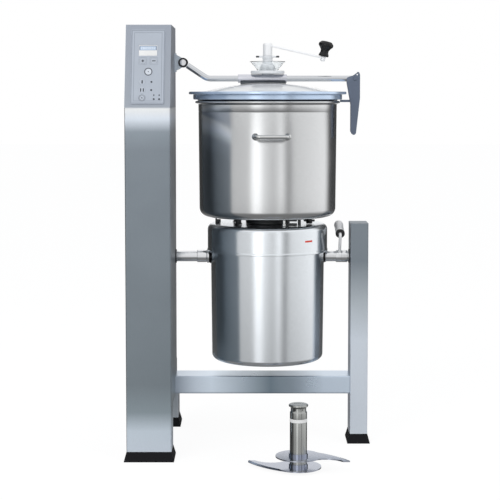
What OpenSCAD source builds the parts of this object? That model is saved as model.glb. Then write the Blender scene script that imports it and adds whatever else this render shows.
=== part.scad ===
// Floor-standing commercial food processor with a tilting bowl.
// The origin is on the floor, in the middle of the space that the machine and its loose
// cutter take up. +X is to the operator's right, +Y is towards the back and +Z is up. All sizes are in millimetres.

/* [Stand] */
// Width over the feet
machine_w = 810; // [780:1:860]
// Depth over the feet
machine_d = 600; // [580:1:640]
// Height of the control column
machine_h = 1400; // [1380:1:1440]
// Width of the control column
column_w = 145; // [130:1:155]
// Depth of the control column
column_d = 340; // [320:1:360]
// Sheet thickness of the column
column_wall = 2; // [1.5:0.1:3]
// Radius of the column's upright corners
column_corner_r = 4; // [3:0.5:8]
// Height where the control face starts to lean back
crease_z = 1132; // [1120:1:1150]
// Lean of the control face from upright
face_lean = 17.6; // [14:0.1:19]
// Depth of the front leg under the column
leg_d = 100; // [80:1:120]
// Height of the underside of the column body, the side beam and the crossbar
deck_z = 170; // [165:1:180]
// Height of the crossbar and the side beam
beam_h = 60; // [50:1:60]
// Width of the side beam, the back leg and the right post
beam_w = 60; // [55:1:70]
// Depth of the right post, the crossbar and the back leg
post_d = 100; // [96:1:110]
// Height of the top of the right post
post_h = 747; // [720:1:760]
// How far the side beam is set in from the column's right side
beam_inset = 12; // [8:1:20]
// How far the back leg is set in from the column's right side
leg_inset = 3; // [2:0.5:8]
// Wall of the square tubes
tube_wall = 3; // [2:0.5:4]
// Height of the rubber feet
foot_h = 32; // [25:1:40]
// How far the feet flare out at the floor
foot_flare = 8; // [5:0.5:12]

/* [Tilt axis] */
// Height of the tilt axis
tilt_z = 632; // [625:1:634]
// Diameter of the tilt shafts
shaft_d = 36; // [30:1:38]
// Length of each shaft that reaches past the face of its bearing's wall
shaft_reach = 46; // [40:1:50]
// Diameter of the flanges of the tilt bearings
bearing_flange_d = 80; // [70:1:86]
// Diameter of the bearing noses that show as dark rings
bearing_nose_d = 46; // [44:1:52]
// How far the bearing noses stand out of the walls
nose_out = 4; // [2:0.5:6]
// Diameter of the polished sleeve beside the motor unit
sleeve_d = 42; // [40:1:44]
// Length of the polished sleeve beside the motor unit
sleeve_l = 32; // [25:1:45]

/* [Motor unit] */
// Place of the bowl axis across the machine
unit_x = 59; // [50:1:62]
// Height of the underside of the motor drum
drum_z = 285; // [283:1:300]
// Diameter of the drum at its underside
drum_low_d = 375; // [360:1:378]
// Diameter of the drum under the collar
drum_top_d = 383; // [379:1:386]
// Sheet thickness of the drum
drum_wall = 2.5; // [2:0.5:4]
// Radius of the drum's bottom edge
drum_edge_r = 18; // [12:1:24]
// Height of the lower edge of the collar
collar_z = 652; // [651.5:0.5:656]
// How far the collar stands out past the drum
collar_over = 10.5; // [8:0.5:13]
// Height of the collar
collar_h = 93; // [85:1:93]
// Radius of the collar's top shoulder
collar_edge_r = 20; // [12:1:24]
// Outer diameter of the motor's bearings
motor_bearing_d = 80; // [70:1:90]
// Diameter of the drive spindle
spindle_d = 35; // [30:1:36]
// Outer diameter of the stator's stack
stack_d = 262; // [240:1:290]
// Outer diameter of the rotor
rotor_d = 160; // [140:1:180]
// Length of the stator stack
stator_h = 170; // [140:1:190]
// Height of the stator above the drum's underside
stator_lift = 110; // [100:1:130]
// Outer diameter of the cooling fan
fan_d = 290; // [240:1:310]

/* [Bowl] */
// Outer diameter of the bowl at its rim
bowl_top_d = 465; // [460:1:468]
// Outer diameter of the bowl above its bottom edge
bowl_low_d = 458; // [450:1:460]
// Height of the bowl
bowl_h = 387; // [380:1:392]
// Wall of the bowl
bowl_wall = 3; // [2:0.5:4]
// Radius of the bowl's bottom edge
bowl_edge_r = 28; // [20:1:34]
// How far the rim flange stands out from the wall
flange_out = 10.5; // [8:0.5:11]
// Gap between the motor unit and the bowl
bowl_gap = 25; // [22:0.5:26]
// Height of the tube in the middle of the bowl
chimney_h = 175; // [150:1:185]
// Wall of the tube in the middle of the bowl
chimney_wall = 2.5; // [2:0.5:3]
// Free space round the spindle inside the tube
chimney_room = 3; // [2:0.5:3.5]
// Width of the bowl handles between bar centres
handle_w = 104; // [90:1:120]
// Distance from the bowl to the middle of a handle's bar
handle_out = 37; // [32:1:42]
// Diameter of the handle bar
handle_bar_d = 13; // [10:0.5:14]
// Height of the handles above the bowl's underside
handle_z = 272; // [240:1:290]
// Turn of the handles about the bowl axis
handle_turn = 2.5; // [0:0.5:6]
// Diameter of the dark seat that carries the bowl
seat_d = 146; // [130:1:160]

/* [Lid] */
// Gap between the lid's seal and the bowl's rim
seal_gap = 0.5; // [0.4:0.1:0.6]
// Width of the lid seal
seal_w = 5; // [4:0.5:5.5]
// How far the seal stands out of the lid rim
seal_out = 3; // [2.5:0.5:4]
// Diameter of the lid rim's upper flange
rim_d = 529; // [524:1:532]
// Diameter of the lid rim's lower step
rim_step_d = 500; // [496:1:504]
// Height of the lid rim above its underside
rim_h = 26.5; // [24:0.5:30]
// Thickness of the lid rim's upper flange
rim_flange_h = 9; // [7:0.5:12]
// Diameter of the dome where it meets the rim
dome_d = 434; // [420:1:440]
// Rise of the dome above the rim
dome_rise = 29; // [22:0.5:30]
// Thickness of the dome
dome_wall = 3; // [2:0.5:4]

/* [Lid arm] */
// Diameter of the arm's round bar
arm_d = 20; // [18:1:21]
// Height of the level stretch of the arm above the lid rim's top
arm_lift = 44; // [43:0.5:48]
// Slope of the stretch between the pivot and the bend
arm_slope = 33.5; // [28:0.5:38]
// Radius of the bend
arm_bend_r = 45; // [35:1:60]
// Distance of the arm's pivot from the column
pivot_out = 28; // [26:1:32]
// Height of the pivot above the level stretch
pivot_rise = 53; // [45:1:60]
// Diameter of the arm's eye
eye_d = 30; // [27:1:33]
// Thickness of the arm's eye
eye_t = 15; // [12:0.5:18]
// Diameter of the pivot pin
pivot_pin_d = 12; // [10:1:14]
// Height of the pivot bracket on the column
bracket_h = 62; // [55:1:70]
// Diameter of the sleeve that carries the lid
arm_sleeve_d = 26; // [25:0.5:28]
// Length of the sleeve that carries the lid
arm_sleeve_l = 163; // [150:1:175]
// Depth of the dark block under the sleeve
arm_block_d = 34; // [28:1:40]

/* [Lid hub and wiper] */
// Diameter of the lid hub's base disc
hub_base_d = 113; // [104:1:120]
// Thickness of the lid hub's base disc
hub_base_h = 10; // [8:0.5:12]
// Diameter of the clear cup at its top
cup_top_d = 120; // [112:1:126]
// Diameter of the clear cup at its bottom
cup_low_d = 72; // [66:1:80]
// Height of the clear cup
cup_h = 31; // [26:0.5:34]
// Wall of the clear cup
cup_wall = 2.5; // [2:0.5:3]
// Height of the boss in the middle of the cup
boss_h = 43; // [40:1:48]
// Diameter of the wiper shaft
wiper_shaft_d = 12; // [10:1:13]
// Diameter of the round head on top of the crank
crank_head_d = 31; // [28:1:34]
// Reach of the crank from the lid axis to the knob
crank_reach = 186; // [170:1:195]
// Slope of the crank and lean of its knob
crank_slope = 13; // [8:0.5:15]
// Diameter of the knob's cap
knob_d = 50; // [44:1:54]
// Height of the knob
knob_h = 53; // [50:1:58]
// Diameter of the pin in the knob
knob_pin_d = 8; // [6:0.5:9]

/* [Lid clamp] */
// Height of the clamp lever
clamp_h = 211; // [205:1:221]
// Thickness of the clamp lever's sheet
clamp_wall = 3; // [2:0.5:4]
// Distance of the clamp's pin from the bowl axis
clamp_reach = 293; // [292:0.5:296]
// Diameter of the clamp's pin
clamp_pin_d = 8; // [6:0.5:10]

/* [Tilt lever] */
// Distance of the tilt lever from the right post
lever_gap = 34; // [32:1:36]
// Width of the tilt lever's hub on the shaft
lever_collar_w = 38; // [34:1:39]
// Diameter of the tilt lever's rod
lever_rod_d = 10; // [8:0.5:12]
// Diameter of the tilt lever's grip
grip_d = 28; // [24:0.5:30]
// Length of the tilt lever's grip
grip_l = 110; // [95:1:115]
// How far the front end of the grip is in front of the tilt axis
grip_front = 45; // [38:1:50]
// Height of the front end of the grip above the tilt axis
grip_rise = 77; // [74:1:82]
// Slope of the grip
grip_slope = 14; // [8:0.5:16]

/* [Cutter] */
// Place of the cutter across the machine
cutter_x = 152; // [120:1:180]
// How far the cutter stands in front of the feet
cutter_front = 88; // [80:1:140]
// Height of the cutter
cutter_h = 210; // [200:1:225]
// Outer diameter of the cutter's hub
hub_d = 54; // [53:0.5:58]
// Diameter of the cutter's cap
cap_d = 61; // [58:0.5:66]
// Free space between the cutter's hub and the bowl's tube
hub_room = 1; // [0.5:0.1:1.2]
// Reach of the blades' tips to the side of the hub's axis
tip_out = 164; // [150:1:175]
// How far the blades' tips are swept from the line through the hub's axis
tip_sweep = 67; // [55:1:72]
// How much of each blade's thin tip is cut off square
tip_cut = 6; // [4:1:10]
// Radius of the round plate in the middle of each blade
lobe_r = 72; // [68:1:78]
// Radius of the blades' long cutting edge
edge_r = 300; // [250:5:400]
// Radius of the hollow in the blades' back
hollow_r = 64; // [58:1:70]
// Thickness of the blades
blade_t = 4; // [3:0.5:5]
// Width of the ground edge
grind_w = 9; // [5:0.5:12]
// Height of the upper blade
blade_lift = 42; // [38:1:50]
// Height of the white ring on the hub
ring_low = 154; // [140:1:160]
// Width of the white ring on the hub
ring_w = 11; // [8:1:14]

/* [Control panel] */
// Width of the control panel
panel_w = 107; // [100:1:112]
// Length of the control panel up the slope
panel_l = 248; // [244:1:252]
// Distance from the crease to the panel's lower edge
panel_low = 15; // [12:1:18]
// Thickness of the control panel
panel_t = 3; // [2.5:0.5:4]
// Width of the display window
display_w = 58; // [50:1:66]
// Height of the display window
display_h = 35; // [30:1:38]
// Diameter of the keys
key_d = 20; // [16:0.5:22]
// How far the keys stand proud of the panel
key_proud = 0.8; // [0.7:0.1:1]

/* [Clearances] */
// Running clearance of shafts and pins in their holes
run_gap = 0.05; // [0.03:0.01:0.08]
// Seating clearance between curved or separate faces
seat_gap = 0.3; // [0.2:0.05:0.4]

/* [Hidden] */
$fn = 96;

// Bends of round bars are a hair thinner, so that the straight stretches lap over their ends
lap = 0.25;

// Place of the tilt axis, which puts the origin in the middle of the footprint with the cutter
axis_y = (cutter_front + lobe_r) / 2;

// Stand, derived
col_x0 = -machine_w / 2 + foot_flare;
col_x1 = col_x0 + column_w;
col_mid = (col_x0 + col_x1) / 2;
col_y0 = axis_y - machine_d / 2 + foot_flare;
col_y1 = col_y0 + column_d;
stand_back = axis_y + machine_d / 2 - foot_flare;
post_x1 = machine_w / 2 - foot_flare;
post_x0 = post_x1 - beam_w;
beam_x1 = col_x1 - beam_inset;
beam_x0 = beam_x1 - beam_w;
leg_x1 = col_x1 - leg_inset;
leg_x0 = leg_x1 - beam_w;
foot_top = foot_h;
face_top_y = col_y0 + (machine_h - crease_z) * tan(face_lean);

// Back cover of the column, derived
cover_edge = 10;
cover_z0 = deck_z + beam_h + 50;
cover_z1 = machine_h - 22;
cover_t = 1.5;
cover_lap = 8;
screw_d = 5;
screw_head_d = 10;
screw_head_h = 2.6;

// Cable gland, derived
gland_x = col_x0 + 38;
gland_z = deck_z + 34;
gland_bore_d = 15;
gland_thread_d = 24;
gland_hex = 30;
gland_out = 18;
gland_in = 8;

// Tilt axis and motor unit, derived
shaft_r = shaft_d / 2;
drum_r0 = drum_low_d / 2;
drum_r1 = drum_top_d / 2;
drum_top = collar_z + 5;
collar_r = drum_r1 + collar_over;
collar_top = collar_z + collar_h;
collar_lip = 1.5;
collar_wall = 3;
bearing_hold = 10;
bearing_h = 22;
bearing_room = 0.1;
spindle_r = spindle_d / 2;
spindle_foot_r = spindle_r - 2.5;
lever_x = post_x0 - lever_gap;
stator_z = drum_z + stator_lift;
air_gap = 0.8;

// Bowl, derived
bowl_z = collar_top + bowl_gap;
bowl_top = bowl_z + bowl_h;
bowl_r0 = bowl_low_d / 2;
bowl_r1 = bowl_top_d / 2;
bowl_lip_r = bowl_r1 + flange_out;
flange_h = 11;
chimney_r0 = spindle_r + chimney_room;
chimney_r1 = chimney_r0 + chimney_wall;
spindle_top = bowl_z + bowl_wall + chimney_h + 22;
handle_r = handle_bar_d / 2;
handle_bend = 14;

// Lid, derived
seal_r0 = bowl_r1 - bowl_wall + 0.3;
seal_z = bowl_top + seal_gap;
rim_z = seal_z + seal_out;
rim_top = rim_z + rim_h;
rim_r = rim_d / 2;
rim_step_r = rim_step_d / 2;
dome_r = dome_d / 2;
dome_ledge = 5;
dome_foot = 4;
dome_top = rim_top + dome_rise;
dome_sphere_r = (dome_r * dome_r + dome_rise * dome_rise) / (2 * dome_rise);

// Lid arm, derived
arm_r = arm_d / 2;
arm_z = rim_top + arm_lift;
pivot_x = col_x1 + pivot_out;
pivot_z = arm_z + pivot_rise;
bend_drop = arm_bend_r * (1 - cos(arm_slope));
slope_l = (pivot_rise - bend_drop) / sin(arm_slope);
bend_x = pivot_x + slope_l * cos(arm_slope) + arm_bend_r * sin(arm_slope);
cheek_t = 6;
cheek_y = eye_t / 2 + seat_gap;
clamp_x = unit_x + clamp_reach;
arm_end = clamp_x + 9;
sleeve_x0 = unit_x - 99;

// Lid hub and crank, derived
hub_z = arm_z + arm_sleeve_d / 2 + 3;
hub_top = hub_z + hub_base_h;
boss_top = hub_top + boss_h;
wing_h = 7;
crank_z = boss_top + wing_h + seat_gap;
crank_head_h = 42;
crank_tip_h = 4;
crank_nut_h = 12;
crank_start = crank_z + crank_head_h - 6;
crank_end_x = unit_x + crank_reach;
crank_end_z = crank_start - crank_reach * tan(crank_slope);
crank_bar_w = 16;
crank_bar_t = 6;

// Clamp, derived
clamp_half = arm_r + seat_gap + clamp_wall;
clamp_pin_r = clamp_pin_d / 2;

// Cutter, derived
cutter_y = axis_y - machine_d / 2 - cutter_front;
hub_r = hub_d / 2;
hub_bore_r = chimney_r1 + hub_room;
cap_r = cap_d / 2;
blade_bore_r = hub_r + run_gap;
socket_z = cutter_h - 30;
edge_out = edge_r - lobe_r;
tip_reach = sqrt(tip_out * tip_out + tip_sweep * tip_sweep);
edge_turn = atan2(tip_sweep, -tip_out)
    - acos((edge_out * edge_out + tip_reach * tip_reach - edge_r * edge_r) / (2 * edge_out * tip_reach));

// Control panel, derived
display_v = panel_low + 178;
keys_v = [
    for (step = [0, 0, 1, 2, 3, 4])
        panel_low + 143 - [0, 36, 70, 97, 123][step]
];
keys_u = [-16, 19, 2, -17, -17, -17];
key_travel = 0.6;
key_t = panel_t + key_proud - 1.3;

// Points along an arc, for rounded profiles
function arc(c, r, a0, a1, n = 8) = [
    for (i = [0 : n])
        c + r * [cos(a0 + (a1 - a0) * i / n), sin(a0 + (a1 - a0) * i / n)]
];

// Radius of the drum's outside at a height
function drum_r_at(z) = drum_r0 + (drum_r1 - drum_r0) * (z - drum_z) / (drum_top - drum_z);

// Radius of the bowl's outside at a height
function bowl_r_at(z) = bowl_r0
    + (bowl_r1 - bowl_r0) * (z - bowl_z - bowl_edge_r) / (bowl_h - bowl_edge_r);

// Box given by its two corners
module span(low, high) {
    translate(low) cube(high - low);
}

// Flat rounded rectangle with its corner at the origin
module rounded_sheet(w, d, r) {
    translate([r, 0]) square([w - 2 * r, d]);
    translate([0, r]) square([w, d - 2 * r]);
    for (x = [r, w - r], y = [r, d - r]) translate([x, y]) circle(r);
}

// Places its children on the tilt axis, front to back
module at_axis() {
    translate([0, axis_y, 0]) children();
}

// Mirrors its children to the left for side -1, and leaves them for side 1
module to_side(side) {
    mirror([side < 0 ? 1 : 0, 0, 0]) children();
}

// Cylinder along X
module rod_x(x0, x1, r) {
    translate([x0, 0, 0]) rotate([0, 90, 0]) cylinder(h = x1 - x0, r = r);
}

// Cylinder along Y
module rod_y(y0, y1, r) {
    translate([0, y1, 0]) rotate([90, 0, 0]) cylinder(h = y1 - y0, r = r);
}

// Places its children on the control face: X across, Y up the slope, Z out of the face
module on_face(u = 0, v = 0, w = 0) {
    translate([col_mid, col_y0, crease_z]) rotate([90 - face_lean, 0, 0])
        translate([u, v, w]) children();
}

// Square tube along Z with closed ends, given by its outer corners
module closed_tube(low, high, r) {
    size = high - low;
    translate([low[0], low[1], low[2]]) difference() {
        linear_extrude(size[2]) rounded_sheet(size[0], size[1], r);
        translate([tube_wall, tube_wall, tube_wall])
            cube([size[0] - 2 * tube_wall, size[1] - 2 * tube_wall, size[2] - 2 * tube_wall]);
    }
}

// Side outline of the column's body, pulled in by an inset, as seen along X
module column_outline(inset) {
    crease = crease_z - inset * tan(face_lean / 2);
    polygon([
        [col_y0 + inset, deck_z + inset],
        [col_y0 + inset, crease],
        [col_y0 + inset + (machine_h - inset - crease) * tan(face_lean), machine_h - inset],
        [col_y1 - inset, machine_h - inset],
        [col_y1 - inset, deck_z + inset]
    ]);
}

// Column body of one inset, with rounded upright corners on the outside
module column_body(inset) {
    intersection() {
        translate([col_x0 + inset, 0, 0]) rotate([90, 0, 90])
            linear_extrude(column_w - 2 * inset) column_outline(inset);
        translate([col_x0 + inset, col_y0 + inset, 0])
            linear_extrude(machine_h + 1)
                rounded_sheet(column_w - 2 * inset, column_d - 2 * inset, column_corner_r);
    }
}

module cover_hole_places() {
    for (x = [col_x0 + cover_edge + 4, col_x1 - cover_edge - 4])
        for (i = [0 : 3])
            translate([x, col_y1, cover_z0 + 8 + i * (cover_z1 - cover_z0 - 16) / 3]) children();
}

module column_shell() {
    opening_edge = cover_edge + cover_lap;
    color("darkgray") difference() {
        column_body(0);
        column_body(column_wall);
        span([col_x0 + opening_edge, col_y1 - column_wall - 3, cover_z0 + cover_lap + 8],
             [col_x1 - opening_edge, col_y1 + 1, cover_z1 - cover_lap - 8]);
        cover_hole_places() rod_y(-column_wall - 4, 1, screw_d / 2);
        translate([0, axis_y, tilt_z])
            rod_x(col_x1 - column_wall - 1, col_x1 + 1, bearing_nose_d / 2 + run_gap);
        translate([gland_x, col_y1, gland_z]) rod_y(-column_wall - 1, 1, gland_thread_d / 2 + run_gap);
        on_face(0, display_v, -column_wall - 2)
            linear_extrude(column_wall + 3) square([display_w - 10, display_h - 10], center = true);
    }
}

// Front leg, which carries the column's face down to the foot
module column_leg() {
    color("darkgray") closed_tube([col_x0, col_y0, foot_top], [col_x1, col_y0 + leg_d, deck_z], column_corner_r);
}

module back_cover() {
    cover_w = column_w - 2 * cover_edge;
    color("darkgray") difference() {
        translate([col_x0 + cover_edge, col_y1 + cover_t, cover_z0]) rotate([90, 0, 0])
            linear_extrude(cover_t) rounded_sheet(cover_w, cover_z1 - cover_z0, 6);
        cover_hole_places() rod_y(-1, cover_t + 1, screw_d / 2);
        for (group = [0, 1], row = [0 : 6])
            translate([col_mid - 35, col_y1 + cover_t + 1, cover_z0 + 120 + group * 740 + row * 14])
                rotate([90, 0, 0]) linear_extrude(cover_t + 2) rounded_sheet(70, 5, 2.4);
    }
}

module cover_screws() {
    color("silver") cover_hole_places() {
        rod_y(cover_t, cover_t + screw_head_h, screw_head_d / 2);
        rod_y(-column_wall - 3, cover_t + 1, screw_d / 2 - 0.1);
    }
}

// Side beam behind the column, with the back leg welded under its end
module side_frame() {
    color("gray") difference() {
        union() {
            translate([beam_x0, col_y1, deck_z + beam_h]) rotate([-90, 0, 0])
                linear_extrude(stand_back - col_y1) rounded_sheet(beam_w, beam_h, 4);
            translate([leg_x0, stand_back - post_d, foot_top])
                linear_extrude(deck_z + 5 - foot_top) rounded_sheet(beam_w, post_d, 4);
        }
        span([beam_x0 + tube_wall, col_y1 + tube_wall, deck_z + tube_wall],
             [beam_x1 - tube_wall, stand_back - tube_wall, deck_z + beam_h - tube_wall]);
        span([leg_x0 + tube_wall, stand_back - post_d + tube_wall, foot_top + tube_wall],
             [beam_x1 - tube_wall, stand_back - tube_wall, deck_z + tube_wall + 1]);
    }
}

module crossbar() {
    color("silver") at_axis() difference() {
        translate([col_x1, -post_d / 2, deck_z]) rotate([90, 0, 90])
            linear_extrude(post_x0 - col_x1) rounded_sheet(post_d, beam_h, 4);
        span([col_x1 + tube_wall, -post_d / 2 + tube_wall, deck_z + tube_wall],
             [post_x0 - tube_wall, post_d / 2 - tube_wall, deck_z + beam_h - tube_wall]);
    }
}

module right_post() {
    color("silver") at_axis() difference() {
        closed_tube([post_x0, -post_d / 2, foot_top], [post_x1, post_d / 2, post_h], 4);
        translate([0, 0, tilt_z]) rod_x(post_x0 - 1, post_x0 + tube_wall + 1, bearing_nose_d / 2 + run_gap);
    }
}

// Rubber foot under a leg of the given footprint, wider at the floor
module foot(low, high) {
    w = high[0] - low[0];
    d = high[1] - low[1];
    f = foot_flare;
    color("black") intersection() {
        translate([low[0], high[1] + f, 0]) rotate([90, 0, 0]) linear_extrude(d + 2 * f)
            polygon([[-f, 0], [w + f, 0], [w + f, 3], [w, foot_h], [0, foot_h], [-f, 3]]);
        translate([low[0] - f, low[1], 0]) rotate([90, 0, 90]) linear_extrude(w + 2 * f)
            polygon([[-f, 0], [d + f, 0], [d + f, 3], [d, foot_h], [0, foot_h], [-f, 3]]);
    }
}

module front_foot() {
    foot([col_x0, col_y0], [col_x1, col_y0 + leg_d]);
}

module back_foot() {
    foot([leg_x0, stand_back - post_d], [leg_x1, stand_back]);
}

module right_foot() {
    at_axis() foot([post_x0, -post_d / 2], [post_x1, post_d / 2]);
}

// Flange bearing: the nose passes through a wall from the hidden side, towards -X or +X
module tilt_bearing(face_x, wall, side) {
    flange_t = 14;
    color("dimgray") at_axis() translate([face_x, 0, tilt_z]) to_side(side) difference() {
        union() {
            rod_x(-wall - flange_t, -wall, bearing_flange_d / 2);
            rod_x(-wall - 1, nose_out, bearing_nose_d / 2);
        }
        rod_x(-wall - flange_t - 1, nose_out + 1, shaft_r + run_gap);
    }
}

module left_bearing() {
    tilt_bearing(col_x1, column_wall, 1);
}

module right_bearing() {
    tilt_bearing(post_x0, tube_wall, -1);
}

module arm_bracket() {
    reach = pivot_out + eye_d / 2 - 2;
    half = bracket_h / 2;
    color("silver") at_axis() translate([col_x1, 0, pivot_z]) {
        difference() {
            union() {
                span([0, -cheek_y - cheek_t - 3, -half], [5, cheek_y + cheek_t + 3, half]);
                for (y = [-cheek_y - cheek_t, cheek_y])
                    translate([0, y + cheek_t, 0]) rotate([90, 0, 0]) linear_extrude(cheek_t) {
                        polygon([[4, -half + 4], [pivot_out, -eye_d / 2 + 1],
                                 [pivot_out, eye_d / 2 - 1], [4, half - 4]]);
                        translate([pivot_out, 0]) circle(eye_d / 2 - 1);
                    }
            }
            translate([pivot_out, 0, 0]) rod_y(-30, 30, pivot_pin_d / 2 + run_gap);
        }
    }
}

module arm_pivot_pin() {
    y_out = cheek_y + cheek_t;
    color("black") at_axis() translate([pivot_x, 0, pivot_z]) {
        rod_y(-y_out - 1, y_out + 1, pivot_pin_d / 2);
        for (side = [-1, 1]) mirror([0, side < 0 ? 1 : 0, 0]) difference() {
            rod_y(y_out + 0.1, y_out + 5, eye_d / 2 + 1);
            rod_y(y_out + 3.5, y_out + 6, eye_d / 2 - 4);
        }
    }
}

module control_panel() {
    color("lightgray") difference() {
        on_face(-panel_w / 2, panel_low, 0) linear_extrude(panel_t) rounded_sheet(panel_w, panel_l, 5);
        on_face(0, display_v, -1)
            linear_extrude(panel_t + 2) square([display_w + 0.4, display_h + 0.4], center = true);
        for (i = [0 : 5]) on_face(keys_u[i], keys_v[i], 0.6)
            cylinder(h = panel_t, r = key_d / 2 + seat_gap);
    }
}

module display() {
    color("lightsteelblue") {
        on_face(0, display_v, 0)
            linear_extrude(panel_t - 0.4) square([display_w, display_h], center = true);
        on_face(0, display_v, -column_wall - 12)
            linear_extrude(column_wall + 12.2) square([display_w - 11, display_h - 11], center = true);
    }
}

// Key of the control panel, by its place in the lists
module key(i) {
    color("whitesmoke") on_face(keys_u[i], keys_v[i], panel_t + key_proud - key_t)
        rotate_extrude() polygon(concat(
            [[0, 0], [key_d / 2, 0], [key_d / 2, key_t - 0.5]],
            [[key_d / 2 - 0.5, key_t - 0.1], [key_d / 2 - 2, key_t], [0, key_t]]));
}

module plus_key() {
    key(0);
}

module minus_key() {
    key(1);
}

module stop_key() {
    key(2);
}

module speed_one_key() {
    key(3);
}

module speed_two_key() {
    key(4);
}

module pulse_key() {
    key(5);
}

// Motor drive on its mounting plate: a finned block above two smaller ones
module motor_drive() {
    plate_x = col_x0 + column_wall;
    block_x = plate_x + 3;
    fin_w = column_w * 0.69;
    root_w = column_w * 0.48;
    fin_pitch = column_d * 0.044;
    block_y = col_y0 + column_d * 0.3;
    low_z = machine_h * 0.34;
    high_z = machine_h * 0.51;
    color("dimgray") {
        span([plate_x, col_y0 + column_d * 0.2, machine_h * 0.27],
             [block_x + 0.1, col_y1 - column_d * 0.09, machine_h * 0.78]);
        difference() {
            span([block_x, block_y, high_z], [block_x + fin_w, block_y + 10.7 * fin_pitch, machine_h * 0.74]);
            for (i = [0 : 9])
                span([block_x + root_w, block_y + (i + 0.7) * fin_pitch, high_z - 1],
                     [block_x + fin_w + 1, block_y + (i + 1.2) * fin_pitch, machine_h]);
        }
        for (y = [block_y, block_y + 4.3 * fin_pitch])
            span([block_x, y, low_z], [block_x + root_w, y + 3.4 * fin_pitch, low_z + column_d * 0.26]);
    }
}

module cable_gland() {
    color("black") translate([gland_x, col_y1, gland_z]) difference() {
        union() {
            rotate([-90, 0, 0]) linear_extrude(6) circle(d = gland_hex / cos(30), $fn = 6);
            rod_y(5, gland_out, gland_hex / 2 - 2);
            rod_y(-column_wall - gland_in, 1, gland_thread_d / 2);
            translate([0, -column_wall - gland_in, 0]) rotate([-90, 0, 0])
                linear_extrude(gland_in - 0.1) circle(d = gland_hex / cos(30), $fn = 6);
        }
        rod_y(-column_wall - gland_in - 1, gland_out + 1, gland_bore_d / 2);
    }
}

module motor_drum() {
    t = drum_wall;
    hold_r = motor_bearing_d / 2 + bearing_room;
    vent_r = 120;
    inner_r = drum_edge_r - t;
    color("silver") at_axis() translate([unit_x, 0, 0]) difference() {
        rotate_extrude($fn = 180) polygon(concat(
            [[0, drum_z], [drum_r0 - drum_edge_r, drum_z]],
            arc([drum_r0 - drum_edge_r, drum_z + drum_edge_r], drum_edge_r, -90, 0),
            [[drum_r1, drum_top], [drum_r1 - t, drum_top]],
            arc([drum_r0 - drum_edge_r, drum_z + drum_edge_r], inner_r, 0, -90),
            [[hold_r + bearing_hold, drum_z + t], [hold_r + bearing_hold, drum_z + t + bearing_h],
             [hold_r, drum_z + t + bearing_h], [hold_r, drum_z + t], [0, drum_z + t]]));
        translate([0, 0, tilt_z]) rod_x(-drum_r1 - 1, drum_r1 + 1, shaft_r + run_gap);
        for (i = [0 : 23]) rotate([0, 0, i * 15])
            translate([vent_r - 28, -3, drum_z - 1]) linear_extrude(t + 2) rounded_sheet(56, 6, 2.9);
    }
}

module motor_collar() {
    t = collar_wall;
    hold_r = motor_bearing_d / 2 + bearing_room;
    hold_z = collar_top - t - bearing_h;
    r = collar_edge_r;
    color("silver") at_axis() translate([unit_x, 0, 0]) rotate_extrude($fn = 180) polygon(concat(
        [[drum_r1 + seat_gap, collar_z], [collar_r + collar_lip - 1, collar_z],
         [collar_r + collar_lip, collar_z + 1], [collar_r + collar_lip, collar_z + 4],
         [collar_r, collar_z + 7]],
        arc([collar_r - r, collar_top - r], r, 0, 90),
        [[spindle_r + 2, collar_top], [spindle_r + 2, collar_top - t],
         [hold_r, collar_top - t], [hold_r, hold_z],
         [hold_r + bearing_hold, hold_z], [hold_r + bearing_hold, collar_top - t]],
        arc([collar_r - r, collar_top - r], r - t, 90, 0),
        [[collar_r - t, collar_z + 5], [drum_r1 + seat_gap, collar_z + 5]]));
}

// Tilt shaft from inside the drum to inside a bearing, with a polished sleeve of some length by the drum
module tilt_shaft(side, wall_x, sleeve) {
    reach = side * (wall_x - unit_x);
    hub_x = drum_r_at(tilt_z);
    color("silver") at_axis() translate([unit_x, 0, tilt_z]) to_side(side) {
        rod_x(hub_x - 22, reach + shaft_reach, shaft_r);
        if (sleeve > 0) rod_x(hub_x + 14, hub_x + 14 + sleeve, sleeve_d / 2);
    }
}

module left_shaft() {
    tilt_shaft(-1, col_x1, sleeve_l);
}

module right_shaft() {
    tilt_shaft(1, post_x0, 0);
}

module shaft_seals() {
    color("black") at_axis() difference() {
        translate([unit_x, 0, tilt_z]) for (seal = [[-1, 13.8, 6], [1, 7, 4]]) to_side(seal[0]) difference() {
            rod_x(drum_r_at(tilt_z) - 20, drum_r_at(tilt_z) + seal[1], shaft_r + seal[2]);
            rod_x(0, drum_r1 + 20, shaft_r + run_gap);
        }
        translate([unit_x, 0, drum_z]) cylinder(h = drum_top - drum_z, r1 = drum_r0 + 0.2, r2 = drum_r1 + 0.2,
                                                $fn = 180);
        span([col_x1, -40, collar_z - seat_gap], [post_x0, 40, collar_z + 40]);
    }
}

module stator() {
    slots = 36;
    slot_r = rotor_d / 2 + air_gap;
    ring_h = 8;
    ring_z = stator_h * 0.6;
    outer_r = drum_r_at(stator_z + ring_z) - drum_wall - seat_gap;
    color("peru") at_axis() translate([unit_x, 0, stator_z]) difference() {
        union() {
            cylinder(h = stator_h, r = stack_d / 2);
            translate([0, 0, -22]) cylinder(h = stator_h + 44, r = slot_r + 34);
            translate([0, 0, ring_z]) cylinder(h = ring_h, r = outer_r, $fn = 180);
        }
        translate([0, 0, -23]) cylinder(h = stator_h + 46, r = slot_r);
        for (i = [0 : slots - 1]) rotate([0, 0, i * 360 / slots])
            translate([slot_r - 2, -1.5, -23]) cube([20, 3, stator_h + 46]);
        for (i = [0 : 7]) rotate([0, 0, 22.5 + i * 45])
            translate([(outer_r + stack_d / 2) / 2, 0, ring_z - 1]) cylinder(h = ring_h + 2, r = 18);
    }
}

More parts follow.
